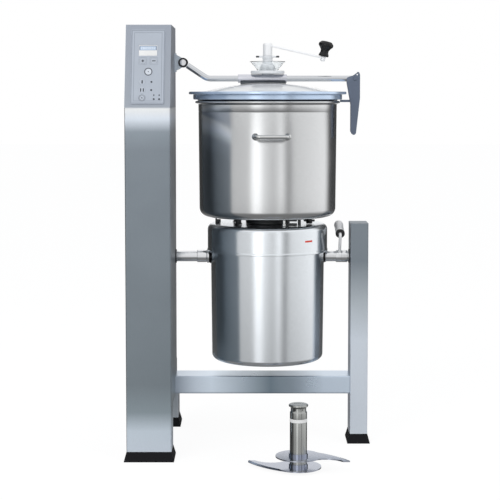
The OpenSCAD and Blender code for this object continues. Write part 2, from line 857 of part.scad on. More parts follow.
module motor_bearings() {
    outer = motor_bearing_d / 2;
    color("lightgray") at_axis() translate([unit_x, 0, 0]) {
        translate([0, 0, drum_z + drum_wall + 0.1]) difference() {
            cylinder(h = bearing_h - 2, r = outer);
            translate([0, 0, -1]) cylinder(h = bearing_h, r = spindle_foot_r + run_gap);
        }
        translate([0, 0, collar_top - collar_wall - bearing_h]) difference() {
            cylinder(h = bearing_h - 0.1, r = outer);
            translate([0, 0, -1]) cylinder(h = bearing_h + 2, r = spindle_r + run_gap);
        }
    }
}

module rotor() {
    color("lightslategray") at_axis() translate([unit_x, 0, stator_z - 8]) difference() {
        cylinder(h = stator_h + 16, r = rotor_d / 2);
        translate([0, 0, -1]) cylinder(h = stator_h + 18, r = spindle_r + run_gap / 2);
    }
}

module cooling_fan() {
    fan_z = drum_z + drum_wall + bearing_h + 8;
    fan_h = 40;
    color("dimgray") at_axis() translate([unit_x, 0, fan_z]) difference() {
        union() {
            cylinder(h = 4, r = fan_d / 2);
            cylinder(h = fan_h, r = spindle_r + 14);
            for (i = [0 : 11]) rotate([0, 0, i * 30])
                translate([spindle_r + 10, -2, 0]) cube([fan_d / 2 - spindle_r - 14, 4, fan_h]);
        }
        translate([0, 0, -1]) cylinder(h = fan_h + 2, r = spindle_r + run_gap / 2);
    }
}

module drive_spindle() {
    flat = spindle_r * 0.72;
    drive_h = 20;
    foot_z = drum_z + drum_wall + 1;
    shoulder_z = foot_z + bearing_h;
    color("silver") at_axis() translate([unit_x, 0, 0]) {
        translate([0, 0, foot_z]) cylinder(h = shoulder_z - foot_z + 1, r = spindle_foot_r);
        translate([0, 0, shoulder_z]) cylinder(h = spindle_top - drive_h - shoulder_z, r = spindle_r);
        intersection() {
            translate([0, 0, spindle_top - drive_h - 1]) cylinder(h = drive_h - 1, r = spindle_r);
            span([-flat, -spindle_r, spindle_top - drive_h - 1], [flat, spindle_r, spindle_top]);
        }
        translate([0, 0, spindle_top - 3]) cylinder(h = 3, r1 = flat, r2 = flat - 3);
    }
}

module bowl_seat() {
    color("dimgray") at_axis() translate([unit_x, 0, collar_top]) difference() {
        union() {
            cylinder(h = bowl_gap, r = seat_d / 2 - 4);
            cylinder(h = 8, r = seat_d / 2);
            translate([0, 0, bowl_gap - 6]) cylinder(h = 6, r = seat_d / 2);
        }
        translate([0, 0, -1]) cylinder(h = bowl_gap + 2, r = spindle_r + 4);
    }
}

// Pieces between the motor unit and the bowl: locating stud, latch bar, stops and the knob's stud
module bowl_fittings() {
    lock = lock_place();
    reach = collar_r * 0.555;
    stop_r = seat_d * 0.082;
    latch = [collar_r * 0.327, -collar_r * 0.604];
    latch_w = collar_r * 0.149;
    latch_d = collar_r * 0.1;
    tab = collar_r * 0.87;
    color("darkslategray") at_axis() translate([unit_x, 0, collar_top]) {
        translate([collar_r * 0.267, -reach, 0]) cylinder(h = bowl_gap, r = seat_d * 0.055);
        difference() {
            span([latch[0], latch[1], 0], [latch[0] + latch_w, latch[1] + latch_d, bowl_gap - 4]);
            span([latch[0] + 6, latch[1] - 1, 8], [latch[0] + latch_w + 1, latch[1] + latch_d + 1, 15]);
        }
        span([latch[0] + latch_w + 3, latch[1], 0],
             [latch[0] + latch_w + 13, latch[1] + latch_d + 4, bowl_gap - 6]);
        for (a = [60, 110, 160, 210]) rotate([0, 0, a])
            translate([reach, 0, 0]) cylinder(h = bowl_gap, r = stop_r);
        span([-tab, -10, 0], [18 - tab, 10, 12]);
        span([-tab, -10, 11], [5 - tab, 10, bowl_gap - 5]);
    }
    color("darkslategray") at_axis() translate([lock[0], lock[1], collar_top]) cylinder(h = bowl_gap - 1, r = 5);
}

// Centre of the bowl lock knob
function lock_place() = [unit_x + 140, -30];

module bowl_lock_knob() {
    lock = lock_place();
    color("black") at_axis() translate([lock[0], lock[1], collar_top + seat_gap]) difference() {
        union() {
            cylinder(h = bowl_gap - 2 * seat_gap, r = 10.5);
            for (a = [0, 90]) rotate([0, 0, a]) span([-18.5, -4, 7], [18.5, 4, 14]);
        }
        translate([0, 0, -1]) cylinder(h = bowl_gap + 2, r = 5 + run_gap);
    }
}

module bowl() {
    t = bowl_wall;
    corner = [bowl_r0 - bowl_edge_r, bowl_z + bowl_edge_r];
    foot_r = 8;
    foot_c = [chimney_r1 + foot_r, bowl_z + t + foot_r];
    color("silver") at_axis() translate([unit_x, 0, 0]) rotate_extrude($fn = 180) polygon(concat(
        [[chimney_r0, bowl_z], [bowl_r0 - bowl_edge_r, bowl_z]],
        arc(corner, bowl_edge_r, -90, 0),
        [[bowl_r1, bowl_top - flange_h], [bowl_r1, bowl_top], [bowl_r1 - t, bowl_top]],
        arc(corner, bowl_edge_r - t, 0, -90),
        arc(foot_c, foot_r, 270, 180, 5),
        [[chimney_r1, bowl_z + t + chimney_h], [chimney_r0, bowl_z + t + chimney_h]]));
}

// Rim flange welded round the top of the bowl
module bowl_flange() {
    inner_r = bowl_r1 + 0.05;
    color("silver") at_axis() translate([unit_x, 0, 0]) rotate_extrude($fn = 180) polygon([
        [inner_r, bowl_top - flange_h], [bowl_lip_r - 1, bowl_top - 7.5], [bowl_lip_r, bowl_top - 6.5],
        [bowl_lip_r, bowl_top - 3.5], [bowl_lip_r - 1, bowl_top - 2], [inner_r + 3, bowl_top],
        [inner_r, bowl_top]
    ]);
}

// Round-bar handle on the front of the bowl, bent at both ends and cut to the wall
module bowl_handle() {
    bar_y = -bowl_r_at(bowl_z + handle_z) - handle_out;
    half = handle_w / 2;
    color("silver") difference() {
        translate([0, 0, bowl_z + handle_z]) {
            translate([0, bar_y, 0]) rod_x(-half + handle_bend - 1, half - handle_bend + 1, handle_r);
            for (side = [-1, 1]) to_side(side) {
                translate([half, 0, 0]) rod_y(bar_y + handle_bend - 1, -bowl_r0 + 30, handle_r);
                translate([half, 0, 0]) rod_y(bar_y + handle_out - 3, -bowl_r0 + 30, handle_r + 5);
                translate([half - handle_bend, bar_y + handle_bend, 0]) rotate([0, 0, -90])
                    rotate_extrude(angle = 90) translate([handle_bend, 0]) circle(handle_r - lap);
            }
        }
        translate([0, 0, bowl_z + bowl_edge_r])
            cylinder(h = bowl_h - bowl_edge_r, r1 = bowl_r0 + 0.1, r2 = bowl_r1 + 0.1, $fn = 180);
    }
}

module front_handle() {
    at_axis() translate([unit_x, 0, 0]) rotate([0, 0, handle_turn]) bowl_handle();
}

module back_handle() {
    at_axis() translate([unit_x, 0, 0]) rotate([0, 0, handle_turn + 180]) bowl_handle();
}

module arm_bar() {
    neck = arm_r - 4;
    bar_start = eye_d / 2 + 2;
    color("silver") at_axis() difference() {
        union() {
            translate([pivot_x, 0, pivot_z]) {
                rod_y(-eye_t / 2, eye_t / 2, eye_d / 2);
                rotate([0, arm_slope, 0]) {
                    span([eye_d / 2 - 5, 1 - eye_t / 2, -neck], [bar_start + 6, eye_t / 2 - 1, neck]);
                    rod_x(bar_start, slope_l + 2, arm_r);
                }
            }
            translate([bend_x, 0, arm_z + arm_bend_r]) rotate([90, 0, 0]) rotate([0, 0, -90 - arm_slope])
                rotate_extrude(angle = arm_slope) translate([arm_bend_r, 0]) circle(arm_r - lap);
            translate([0, 0, arm_z]) rod_x(bend_x - 2, arm_end, arm_r);
        }
        translate([pivot_x, 0, pivot_z]) rod_y(-30, 30, pivot_pin_d / 2 + run_gap);
        translate([clamp_x, 0, arm_z]) rod_y(-30, 30, clamp_pin_r + run_gap);
        translate([unit_x, 0, arm_z - 30]) cylinder(h = 60, r = wiper_shaft_d / 2 + 0.5);
    }
}

module arm_sleeve() {
    sleeve_r = arm_sleeve_d / 2;
    block_x0 = sleeve_x0 + 8;
    block_x1 = sleeve_x0 + arm_sleeve_l - 3;
    color("dimgray") at_axis() difference() {
        union() {
            translate([0, 0, arm_z]) rod_x(sleeve_x0, sleeve_x0 + arm_sleeve_l, sleeve_r);
            span([block_x0, -arm_block_d / 2, rim_top], [block_x1, arm_block_d / 2, arm_z - arm_r + 1]);
        }
        translate([0, 0, arm_z]) rod_x(sleeve_x0 - 1, sleeve_x0 + arm_sleeve_l + 1, arm_r + run_gap);
        translate([unit_x, 0, dome_top - dome_sphere_r]) sphere(dome_sphere_r + seat_gap, $fn = 180);
        translate([unit_x, 0, rim_top]) cylinder(h = 80, r = wiper_shaft_d / 2 + run_gap);
    }
}

module lid_rim() {
    seal_r1 = seal_r0 + seal_w;
    ledge_r = dome_r - dome_ledge;
    step_z = rim_top - rim_flange_h;
    color("steelblue") at_axis() translate([unit_x, 0, 0]) rotate_extrude($fn = 180) polygon([
        [ledge_r, rim_z + 2], [ledge_r + 2, rim_z], [seal_r0 - 0.2, rim_z], [seal_r0 - 0.2, rim_z + 4],
        [seal_r1 + 0.2, rim_z + 4], [seal_r1 + 0.2, rim_z], [rim_step_r - 2, rim_z],
        [rim_step_r, rim_z + 2], [rim_step_r, step_z], [rim_r - 1.5, step_z], [rim_r, step_z + 1.5],
        [rim_r, rim_top - 1.5], [rim_r - 1.5, rim_top], [dome_r + 0.1, rim_top],
        [dome_r + 0.1, rim_top - dome_foot], [ledge_r, rim_top - dome_foot]
    ]);
}

module lid_dome() {
    hole_r = wiper_shaft_d / 2 + 1.5;
    centre = [0, dome_top - dome_sphere_r];
    low = asin((dome_sphere_r - dome_rise) / dome_sphere_r);
    high = acos(hole_r / dome_sphere_r);
    inner = dome_sphere_r - dome_wall;
    color("aliceblue", 0.4) at_axis() translate([unit_x, 0, 0]) rotate_extrude($fn = 180) polygon(concat(
        [[dome_r, rim_top - dome_foot]],
        arc(centre, dome_sphere_r, low, high, 12),
        arc(centre, inner, acos(hole_r / inner), asin((inner - dome_rise) / inner), 12),
        [[dome_r - dome_ledge + 0.5, rim_top - dome_foot]]));
}

module lid_seal() {
    color("black") at_axis() translate([unit_x, 0, 0]) rotate_extrude($fn = 180) polygon([
        [seal_r0, seal_z + 1], [seal_r0 + 1, seal_z], [seal_r0 + seal_w - 1, seal_z],
        [seal_r0 + seal_w, seal_z + 1], [seal_r0 + seal_w, rim_z + 3.9], [seal_r0, rim_z + 3.9]
    ]);
}

module hub_base() {
    color("gainsboro") at_axis() difference() {
        translate([unit_x, 0, 0]) {
            translate([0, 0, hub_z]) cylinder(h = hub_base_h, r = hub_base_d / 2);
            translate([0, 0, arm_z]) cylinder(h = hub_z - arm_z + 1, r = 19);
        }
        translate([0, 0, arm_z]) rod_x(-200, 400, arm_sleeve_d / 2 + 0.1);
        translate([unit_x, 0, arm_z]) cylinder(h = 80, r = wiper_shaft_d / 2 + 0.3);
    }
}

module feed_cup() {
    low = cup_low_d / 2;
    top = cup_top_d / 2;
    t = cup_wall;
    foot = 4;
    color("aliceblue", 0.4) at_axis() translate([unit_x, 0, hub_top]) rotate_extrude() polygon([
        [low - t, 0], [low, 0], [low, foot], [top - 3, cup_h - 2], [top, cup_h - 2], [top, cup_h],
        [top - t - 3, cup_h], [low - t, foot + 1]
    ]);
}

module hub_boss() {
    r = wiper_shaft_d / 2 + run_gap;
    color("lightgray") at_axis() {
        translate([unit_x, 0, hub_top]) rotate_extrude() polygon([
            [r, 0], [28, 0], [28, 6], [23, 20], [17, 24], [17, boss_h], [r, boss_h]
        ]);
        translate([unit_x, 0, boss_top]) difference() {
            union() {
                cylinder(h = wing_h, r = 17);
                span([-40, -5, 1], [40, 5, wing_h]);
            }
            translate([0, 0, -1]) cylinder(h = wing_h + 2, r = r);
        }
    }
}

// Crank with its shaft, seen from the lid axis: head, sloping bar, end boss and the knob's pin
module wiper_crank() {
    shaft_low = dome_top - dome_wall - 14;
    color("silver") at_axis() {
        translate([unit_x, 0, shaft_low]) cylinder(h = crank_z - shaft_low + 1, r = wiper_shaft_d / 2);
        translate([unit_x, 0, crank_z]) rotate_extrude() polygon([
            [0, 0], [crank_head_d / 2, 0], [crank_head_d / 2, crank_head_h - 4],
            [crank_head_d / 2 - 4, crank_head_h], [0, crank_head_h]
        ]);
        translate([unit_x, 0, crank_start]) rotate([0, crank_slope, 0])
            span([0, -crank_bar_w / 2, -crank_bar_t / 2],
                 [crank_reach / cos(crank_slope), crank_bar_w / 2, crank_bar_t / 2]);
        translate([crank_end_x, 0, crank_end_z]) rotate([0, crank_slope, 0]) {
            translate([0, 0, -crank_bar_t / 2]) cylinder(h = crank_bar_t, r = crank_bar_w / 2);
            translate([0, 0, -crank_nut_h]) cylinder(h = crank_nut_h + crank_tip_h, r = 8);
            cylinder(h = knob_h, r = knob_pin_d / 2);
        }
    }
}

module crank_knob() {
    low = crank_tip_h + seat_gap;
    top = low + knob_h;
    waist_r = knob_d * 0.27;
    cap_r0 = knob_d / 2;
    color("black") at_axis() translate([crank_end_x, 0, crank_end_z]) rotate([0, crank_slope, 0]) difference() {
        rotate_extrude() polygon(concat(
            [[0, low], [15, low], [17, low + 2], [17, low + 6], [15, low + 10], [waist_r, low + 15],
             [waist_r, low + 21], [waist_r + 4, low + 27], [cap_r0 - 2, top - 21], [cap_r0, top - 17],
             [cap_r0, top - 13]],
            [for (a = [20 : 14 : 90]) [cap_r0 * cos(a), top - 13 + 13 * sin(a)]],
            [[0, top]]));
        cylinder(h = knob_h + 0.5, r = knob_pin_d / 2 + run_gap);
    }
}

module wiper_blade() {
    blade_z = dome_top - dome_wall - 14;
    reach = dome_r - 28;
    t = 8;
    color("white") at_axis() translate([unit_x, 0, 0]) difference() {
        union() {
            translate([0, 0, blade_z]) cylinder(h = 12, r = 14);
            rotate([0, 0, 35]) difference() {
                span([-reach, -t / 2, rim_z + 6], [reach, t / 2, dome_top]);
                translate([0, -20, dome_top - dome_sphere_r]) difference() {
                    translate([-400, 0, dome_sphere_r - dome_rise * 2]) cube([800, 40, 100]);
                    translate([0, 60, 0]) rotate([90, 0, 0])
                        cylinder(h = 80, r = dome_sphere_r - dome_wall - 2, $fn = 180);
                }
                span([-reach - 1, -t, rim_z], [-24, t, rim_top - 8]);
                span([24, -t, rim_z], [reach + 1, t, rim_top - 8]);
            }
        }
        translate([0, 0, rim_z]) cylinder(h = 80, r = wiper_shaft_d / 2 + run_gap / 2);
    }
}

// Outline of the clamp lever seen from the front, from the pin's centre
module clamp_outline() {
    drawn_h = 211;
    points = [
        [11, 22], [14, 20], [16.6, 12], [16.6, -66], [4, -183], [0, -188], [-4.5, -189],
        [-10, -185], [-14, -177], [-14, -87], [-26, -20], [-29, 2], [-17, 7], [-6, 10]
    ];
    polygon(points * (clamp_h / drawn_h));
}

// Clamp lever's outline as a block of the given half depth
module clamp_block(half) {
    translate([0, half, 0]) rotate([90, 0, 0]) linear_extrude(2 * half) clamp_outline();
}

// Lever folded from sheet: two cheeks joined along the outer edge, with its pin
module clamp_lever() {
    color("slategray") at_axis() translate([clamp_x, 0, arm_z]) difference() {
        union() {
            difference() {
                clamp_block(clamp_half);
                translate([-clamp_wall, 0, 0]) clamp_block(clamp_half - clamp_wall);
            }
            rod_y(-clamp_half - 2, clamp_half + 2, clamp_pin_r);
            rod_y(-clamp_half - 2, -clamp_half + 1, clamp_pin_r + 3);
            rod_y(clamp_half - 1, clamp_half + 2, clamp_pin_r + 3);
        }
        translate([7, 0, 13]) rod_y(-clamp_half - 3, clamp_half + 3, 2.5);
    }
}

module clamp_hook() {
    inner = clamp_half - clamp_wall - 0.1;
    tip_x = unit_x + bowl_lip_r + 1 - clamp_x;
    tip_z = rim_z - 0.5 - arm_z;
    color("slategray") at_axis() translate([clamp_x, 0, arm_z]) {
        span([-12, -inner, -80], [0, inner, -68]);
        span([tip_x + 4, -7, -79], [-11, 7, -71]);
        span([tip_x, -7, -79], [tip_x + 6, 7, tip_z]);
    }
}

module tilt_lever() {
    boss_r = shaft_r + 3;
    hub_in = 12;
    near = [-grip_front, grip_rise];
    rise = sqrt(near[0] * near[0] + near[1] * near[1]);
    lean = atan2(grip_front, grip_rise);
    color("silver") at_axis() translate([lever_x, 0, tilt_z]) difference() {
        union() {
            rod_x(-hub_in, lever_collar_w - hub_in, boss_r);
            rotate([lean, 0, 0]) cylinder(h = rise, r = lever_rod_d / 2);
            translate([0, near[0], near[1]]) sphere(lever_rod_d / 2 + 2);
            translate([0, near[0], near[1]]) rotate([grip_slope - 90, 0, 0])
                cylinder(h = grip_l - 4, r = lever_rod_d / 2);
        }
        rod_x(-40, 40, shaft_r + run_gap);
    }
}

module lever_grip() {
    start = 8;
    color("whitesmoke") at_axis() translate([lever_x, -grip_front, tilt_z + grip_rise])
        rotate([grip_slope - 90, 0, 0]) difference() {
            rotate_extrude() polygon([
                [0, start], [grip_d / 2 - 1, start], [grip_d / 2, start + 1], [grip_d / 2, grip_l - 5],
                [grip_d / 2 - 5, grip_l], [0, grip_l]
            ]);
            translate([0, 0, -1]) cylinder(h = grip_l - 2.8, r = lever_rod_d / 2 + 0.1);
        }
}

module cutter_hub() {
    neck_z = cutter_h - 24;
    cap_z = cutter_h - 8;
    neck_r = hub_r - 2.5;
    flat = spindle_r * 0.72 + 0.4;
    color("silver") translate([cutter_x, cutter_y, 0]) difference() {
        rotate_extrude() polygon([
            [hub_bore_r, 0], [hub_r + 3, 0], [hub_r + 3, 8.5], [hub_r, 8.5], [hub_r, ring_low],
            [hub_r - 1.5, ring_low], [hub_r - 1.5, ring_low + ring_w], [hub_r, ring_low + ring_w],
            [hub_r, neck_z], [neck_r, neck_z + 2], [neck_r, cap_z - 2], [cap_r - 3, cap_z],
            [cap_r, cap_z + 2], [cap_r, cutter_h - 2], [cap_r - 2, cutter_h], [0, cutter_h],
            [0, socket_z], [hub_bore_r, socket_z]
        ]);
        for (hole = [[238, 4.5], [300, 2]]) rotate([0, 0, hole[0]])
            translate([0, 0, neck_z + 9]) rod_x(neck_r - 3, neck_r + 1, hole[1]);
        intersection() {
            translate([0, 0, socket_z - 1]) cylinder(h = 20, r = spindle_r + 0.5);
            span([-flat, -spindle_r - 1, socket_z - 1], [flat, spindle_r + 1, socket_z + 18]);
        }
    }
}

module hub_ring() {
    color("white") translate([cutter_x, cutter_y, ring_low + 0.1]) difference() {
        cylinder(h = ring_w - 0.2, r = hub_r + 0.4);
        translate([0, 0, -1]) cylinder(h = ring_w + 2, r = hub_r - 1.4);
    }
}

// Blade that sweeps to the left and back from a round plate, with its ground edge in front
module cutter_blade(z, turn) {
    collar_t = 9;
    flat_t = 1.6;
    hollow = [-tip_out / 2 - 1, tip_sweep + 36];
    tangent = -2 * lobe_r * [cos(edge_turn), sin(edge_turn)];
    color("silver") translate([cutter_x, cutter_y, z]) rotate([0, 0, turn]) difference() {
        union() {
            translate([0, 0, blade_t - 0.5]) cylinder(h = collar_t, r = hub_r + 3);
            cylinder(h = blade_t, r = lobe_r);
            difference() {
                intersection() {
                    translate(edge_out * [cos(edge_turn), sin(edge_turn), 0]) {
                        cylinder(h = flat_t, r = edge_r, $fn = 180);
                        translate([0, 0, flat_t - 0.1])
                            cylinder(h = blade_t - flat_t + 0.1, r1 = edge_r, r2 = edge_r - grind_w, $fn = 180);
                    }
                    translate([0, 0, -1]) linear_extrude(blade_t + 2) polygon([
                        [0, 0], [-tip_sweep * 0.46, tip_sweep], [tip_cut - tip_out, tip_sweep],
                        [tip_cut - tip_out, tangent[1]], tangent
                    ]);
                }
                translate([hollow[0], hollow[1], -2]) cylinder(h = blade_t + 4, r = hollow_r);
            }
        }
        translate([0, 0, -1]) cylinder(h = blade_t + collar_t + 2, r = blade_bore_r);
    }
}

module lower_blade() {
    cutter_blade(8.6, 0);
}

module upper_blade() {
    cutter_blade(blade_lift, 180);
}

column_shell();
column_leg();
back_cover();
cover_screws();
side_frame();
crossbar();
right_post();
front_foot();
back_foot();
right_foot();
left_bearing();
right_bearing();
arm_bracket();
arm_pivot_pin();
control_panel();
display();
motor_drive();
cable_gland();
motor_drum();
motor_collar();
left_shaft();
right_shaft();
shaft_seals();
stator();
motor_bearings();
bowl_seat();
bowl_fittings();
bowl();
bowl_flange();
front_handle();
back_handle();
rotor();
cooling_fan();
drive_spindle();
bowl_lock_knob();
arm_bar();
arm_sleeve();
lid_rim();
lid_dome();
lid_seal();
hub_base();
feed_cup();
hub_boss();
wiper_crank();
wiper_blade();
crank_knob();
clamp_lever();
clamp_hook();
tilt_lever();
lever_grip();
cutter_hub();
hub_ring();
lower_blade();
upper_blade();
plus_key();
minus_key();
stop_key();
speed_one_key();
speed_two_key();
pulse_key();
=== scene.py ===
import math

import bmesh
import bpy
from mathutils import Matrix, Vector


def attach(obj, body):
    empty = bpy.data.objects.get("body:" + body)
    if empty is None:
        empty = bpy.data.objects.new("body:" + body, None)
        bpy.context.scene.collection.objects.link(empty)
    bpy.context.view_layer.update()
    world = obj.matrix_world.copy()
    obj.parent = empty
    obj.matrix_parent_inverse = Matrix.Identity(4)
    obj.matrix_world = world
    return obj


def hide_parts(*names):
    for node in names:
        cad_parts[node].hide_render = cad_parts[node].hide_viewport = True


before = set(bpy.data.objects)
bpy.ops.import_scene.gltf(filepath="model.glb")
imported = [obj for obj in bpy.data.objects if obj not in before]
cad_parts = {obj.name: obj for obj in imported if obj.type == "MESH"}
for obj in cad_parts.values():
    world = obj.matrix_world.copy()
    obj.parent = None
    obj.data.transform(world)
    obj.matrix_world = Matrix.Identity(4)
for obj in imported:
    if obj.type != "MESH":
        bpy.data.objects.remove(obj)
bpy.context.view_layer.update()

MM = 0.001

# Main measures of the part, as in the CAD source: lengths in millimetres, FACE_LEAN in degrees
AXIS_Y = 80
UNIT_X = 59
COL_X0, COL_X1 = -397, -252
COL_MID = (COL_X0 + COL_X1) / 2
COL_Y0 = -212
CREASE_Z = 1132
FACE_LEAN = 17.6
TILT_Z = 632
DRUM_Z, COLLAR_Z, COLLAR_TOP = 285, 652, 745
BOWL_Z, BOWL_TOP = 770, 1157
RIM_Z, RIM_TOP, DOME_TOP = 1160.5, 1187, 1216
ARM_Z = 1231
PIVOT_X, PIVOT_Z = -224, 1284
ARM_SLOPE = math.radians(33.5)
ARM_BEND = 45
ARM_R = 10
CLAMP_X = 352
POST_X = 337
LEVER_X = 303
SHAFT_R = 18
PIN_R = 6
LOCK_R = 5
KNOB_PIN_R = 4
HUB_Z, HUB_TOP, BOSS_TOP = 1247, 1257, 1300
CRANK_Z = 1307.3
CRANK_SLOPE = math.radians(13)
CRANK_END = (245, 1300.36)
CUTTER = (152, -308)

# Clearance on the radius of a shaft, parts of an arc and of the dome, and where an edge stays sharp
GAP = 0.06
ARC_STEPS = 12
CAP_STEPS = 24
SHARP_ANGLE = math.radians(35)


# Geometry

def rounded(points, steps=6):
    """Outline with its corners rounded: each point is (a, b) or (a, b, radius)."""
    out = []
    n = len(points)
    for i, p in enumerate(points):
        here = Vector(p[:2])
        radius = p[2] if len(p) > 2 else 0
        if not radius:
            out.append(tuple(here))
            continue
        back = (Vector(points[i - 1][:2]) - here).normalized()
        ahead = (Vector(points[(i + 1) % n][:2]) - here).normalized()
        half = back.angle(ahead) / 2
        cut = radius / math.tan(half)
        centre = here + (back + ahead).normalized() * (radius / math.sin(half))
        start = here + back * cut - centre
        end = here + ahead * cut - centre
        turn = start.angle_signed(end)
        for k in range(steps + 1):
            spin = Matrix.Rotation(-turn * k / steps, 2)
            out.append(tuple(centre + spin @ start))
    return out


def link(name, bm, mat, body, replaces=()):
    """Turns a bmesh in millimetres into a piece that rides on a body."""
    bmesh.ops.scale(bm, vec=(MM, MM, MM), verts=bm.verts)
    bmesh.ops.recalc_face_normals(bm, faces=bm.faces)
    mesh = bpy.data.meshes.new(name)
    bm.to_mesh(mesh)
    bm.free()
    mesh.shade_smooth()
    mesh.set_sharp_from_angle(angle=SHARP_ANGLE)
    obj = bpy.data.objects.new(name, mesh)
    bpy.context.scene.collection.objects.link(obj)
    obj.data.materials.append(mat)
    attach(obj, body)
    if replaces:
        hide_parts(*replaces)


def turned(bm, profile, seg, matrix, closed=True):
    """Adds a profile of (radius, height) points turned about Z."""
    rings = []
    for r, z in profile:
        if r < 1e-4:
            rings.append([bm.verts.new(matrix @ Vector((0, 0, z)))])
        else:
            rings.append([
                bm.verts.new(matrix @ Vector((
                    r * math.cos(2 * math.pi * k / seg), r * math.sin(2 * math.pi * k / seg), z)))
                for k in range(seg)
            ])
    pairs = list(zip(rings, rings[1:]))
    if closed:
        pairs.append((rings[-1], rings[0]))
    for a, b in pairs:
        if len(a) == 1 and len(b) == 1:
            continue
        for k in range(seg):
            m = (k + 1) % seg
            if len(a) == 1:
                bm.faces.new((a[0], b[m], b[k]))
            elif len(b) == 1:
                bm.faces.new((a[k], a[m], b[0]))
            else:
                bm.faces.new((a[k], a[m], b[m], b[k]))


def lathe(name, profile, mat, body, replaces, seg=160):
    """Piece turned about the unit's upright axis."""
    bm = bmesh.new()
    turned(bm, profile, seg, UNIT_AT)
    link(name, bm, mat, body, replaces)


def bar(bm, path, radius, seg):
    """Adds a round bar along a path; radius is one number or one for each point."""
    pts = [Vector(p) for p in path]
    radii = radius if isinstance(radius, (list, tuple)) else [radius] * len(pts)
    tangent = (pts[1] - pts[0]).normalized()
    side = tangent.orthogonal().normalized()
    rings = []
    for i, p in enumerate(pts):
        if i == 0:
            new = (pts[1] - pts[0]).normalized()
        elif i == len(pts) - 1:
            new = (pts[-1] - pts[-2]).normalized()
        else:
            new = ((pts[i + 1] - p).normalized() + (p - pts[i - 1]).normalized()).normalized()
        side = (tangent.rotation_difference(new) @ side).normalized()
        tangent = new
        other = tangent.cross(side)
        rings.append([
            bm.verts.new(p + radii[i] * (math.cos(2 * math.pi * k / seg) * side
                                         + math.sin(2 * math.pi * k / seg) * other))
            for k in range(seg)
        ])
    for a, b in zip(rings, rings[1:]):
        for k in range(seg):
            m = (k + 1) % seg
            bm.faces.new((a[k], a[m], b[m], b[k]))
    bm.faces.new(rings[0][::-1])
    bm.faces.new(rings[-1])


def bend(centre, radius, a0, a1, plane):
    """Points on an arc in the xy or xz plane, angles in degrees."""
    out = []
    for k in range(ARC_STEPS + 1):
        a = math.radians(a0 + (a1 - a0) * k / ARC_STEPS)
        u, v = radius * math.cos(a), radius * math.sin(a)
        if plane == "xy":
            out.append((centre[0] + u, centre[1] + v, centre[2]))
        else:
            out.append((centre[0] + u, centre[1], centre[2] + v))
    return out


def bevelled(bm, verts, edges, offset, segments):
    """Bevels edges of a shape, and returns the vertices it then has."""
    made = bmesh.ops.bevel(bm, geom=edges, offset=offset, segments=segments, affect="EDGES",
                           profile=0.5, clamp_overlap=True)
    return list({v for v in verts if v.is_valid} | set(made["verts"])
                | {v for f in made["faces"] for v in f.verts})


def prism(bm, outline, low, high, matrix, bevel=0.0):
    """Adds an outline in x and y, raised from low to high along z, with bevelled edges."""
    bottom = [bm.verts.new((x, y, low)) for x, y in outline]
    top = [bm.verts.new((x, y, high)) for x, y in outline]
    n = len(outline)
    faces = [bm.faces.new(bottom[::-1]), bm.faces.new(top)]
    for k in range(n):
        m = (k + 1) % n
        faces.append(bm.faces.new((bottom[k], bottom[m], top[m], top[k])))
    verts = bottom + top
    if bevel:
        verts = bevelled(bm, verts, [e for f in faces[:2] for e in f.edges], bevel, 2)
    for v in verts:
        v.co = matrix @ v.co


def block(bm, low, high, bevel, matrix, segments=2):
    """Adds a box between two corners with all its edges bevelled."""
    verts = bmesh.ops.create_cube(bm, size=1)["verts"]
    for v in verts:
        v.co = Vector(low[i] + (v.co[i] + 0.5) * (high[i] - low[i]) for i in range(3))
    if bevel:
        verts = bevelled(bm, verts, list({e for v in verts for e in v.link_edges}), bevel, segments)
    for v in verts:
        v.co = matrix @ v.co


def rod(bm, start, axis, length, radius, edge=0.0, seg=48):
    """Adds a round rod from a point along an axis, with softened ends."""
    axis = Vector(axis).normalized()
    matrix = Matrix.Translation(start) @ axis.to_track_quat("Z", "Y").to_matrix().to_4x4()
    profile = [(0, 0), (radius - edge, 0)]
    if edge:
        profile += [(radius, edge), (radius, length - edge)]
    else:
        profile += [(radius, length)]
    profile += [(radius - edge, length), (0, length)]
    turned(bm, profile, seg, matrix, closed=False)


# The unit's upright axis, turns of Z to the front and to the right, and the plane of the control face
UNIT_AT = Matrix.Translation((UNIT_X, AXIS_Y, 0))
TO_FRONT = Matrix.Rotation(math.radians(90), 4, "X")
TO_RIGHT = Matrix.Rotation(math.radians(90), 4, "Y")
FACE = (Matrix.Translation((COL_MID, COL_Y0, CREASE_Z))
        @ Matrix.Rotation(math.radians(90 - FACE_LEAN), 4, "X"))


# Materials

def new_material(name):
    mat = bpy.data.materials.new(name)
    mat.use_nodes = True
    tree = mat.node_tree
    return mat, tree, tree.nodes["Principled BSDF"]


def node(tree, kind, **values):
    made = tree.nodes.new(kind)
    for key, value in values.items():
        setattr(made, key, value)
    return made


def feed(tree, value, socket):
    """Links an output to a socket, or sets the socket to a plain value."""
    if isinstance(value, bpy.types.NodeSocket):
        tree.links.new(value, socket)
    else:
        socket.default_value = value


def math_of(tree, operation, first, second):
    made = node(tree, "ShaderNodeMath", operation=operation)
    feed(tree, first, made.inputs[0])
    feed(tree, second, made.inputs[1])
    return made.outputs[0]


def range_of(tree, source, low, high, to_low=0.0, to_high=1.0):
    """Maps low to high of a value to another range."""
    made = node(tree, "ShaderNodeMapRange")
    made.inputs["From Min"].default_value = low
    made.inputs["From Max"].default_value = high
    made.inputs["To Min"].default_value = to_low
    made.inputs["To Max"].default_value = to_high
    tree.links.new(source, made.inputs["Value"])
    return made.outputs["Result"]


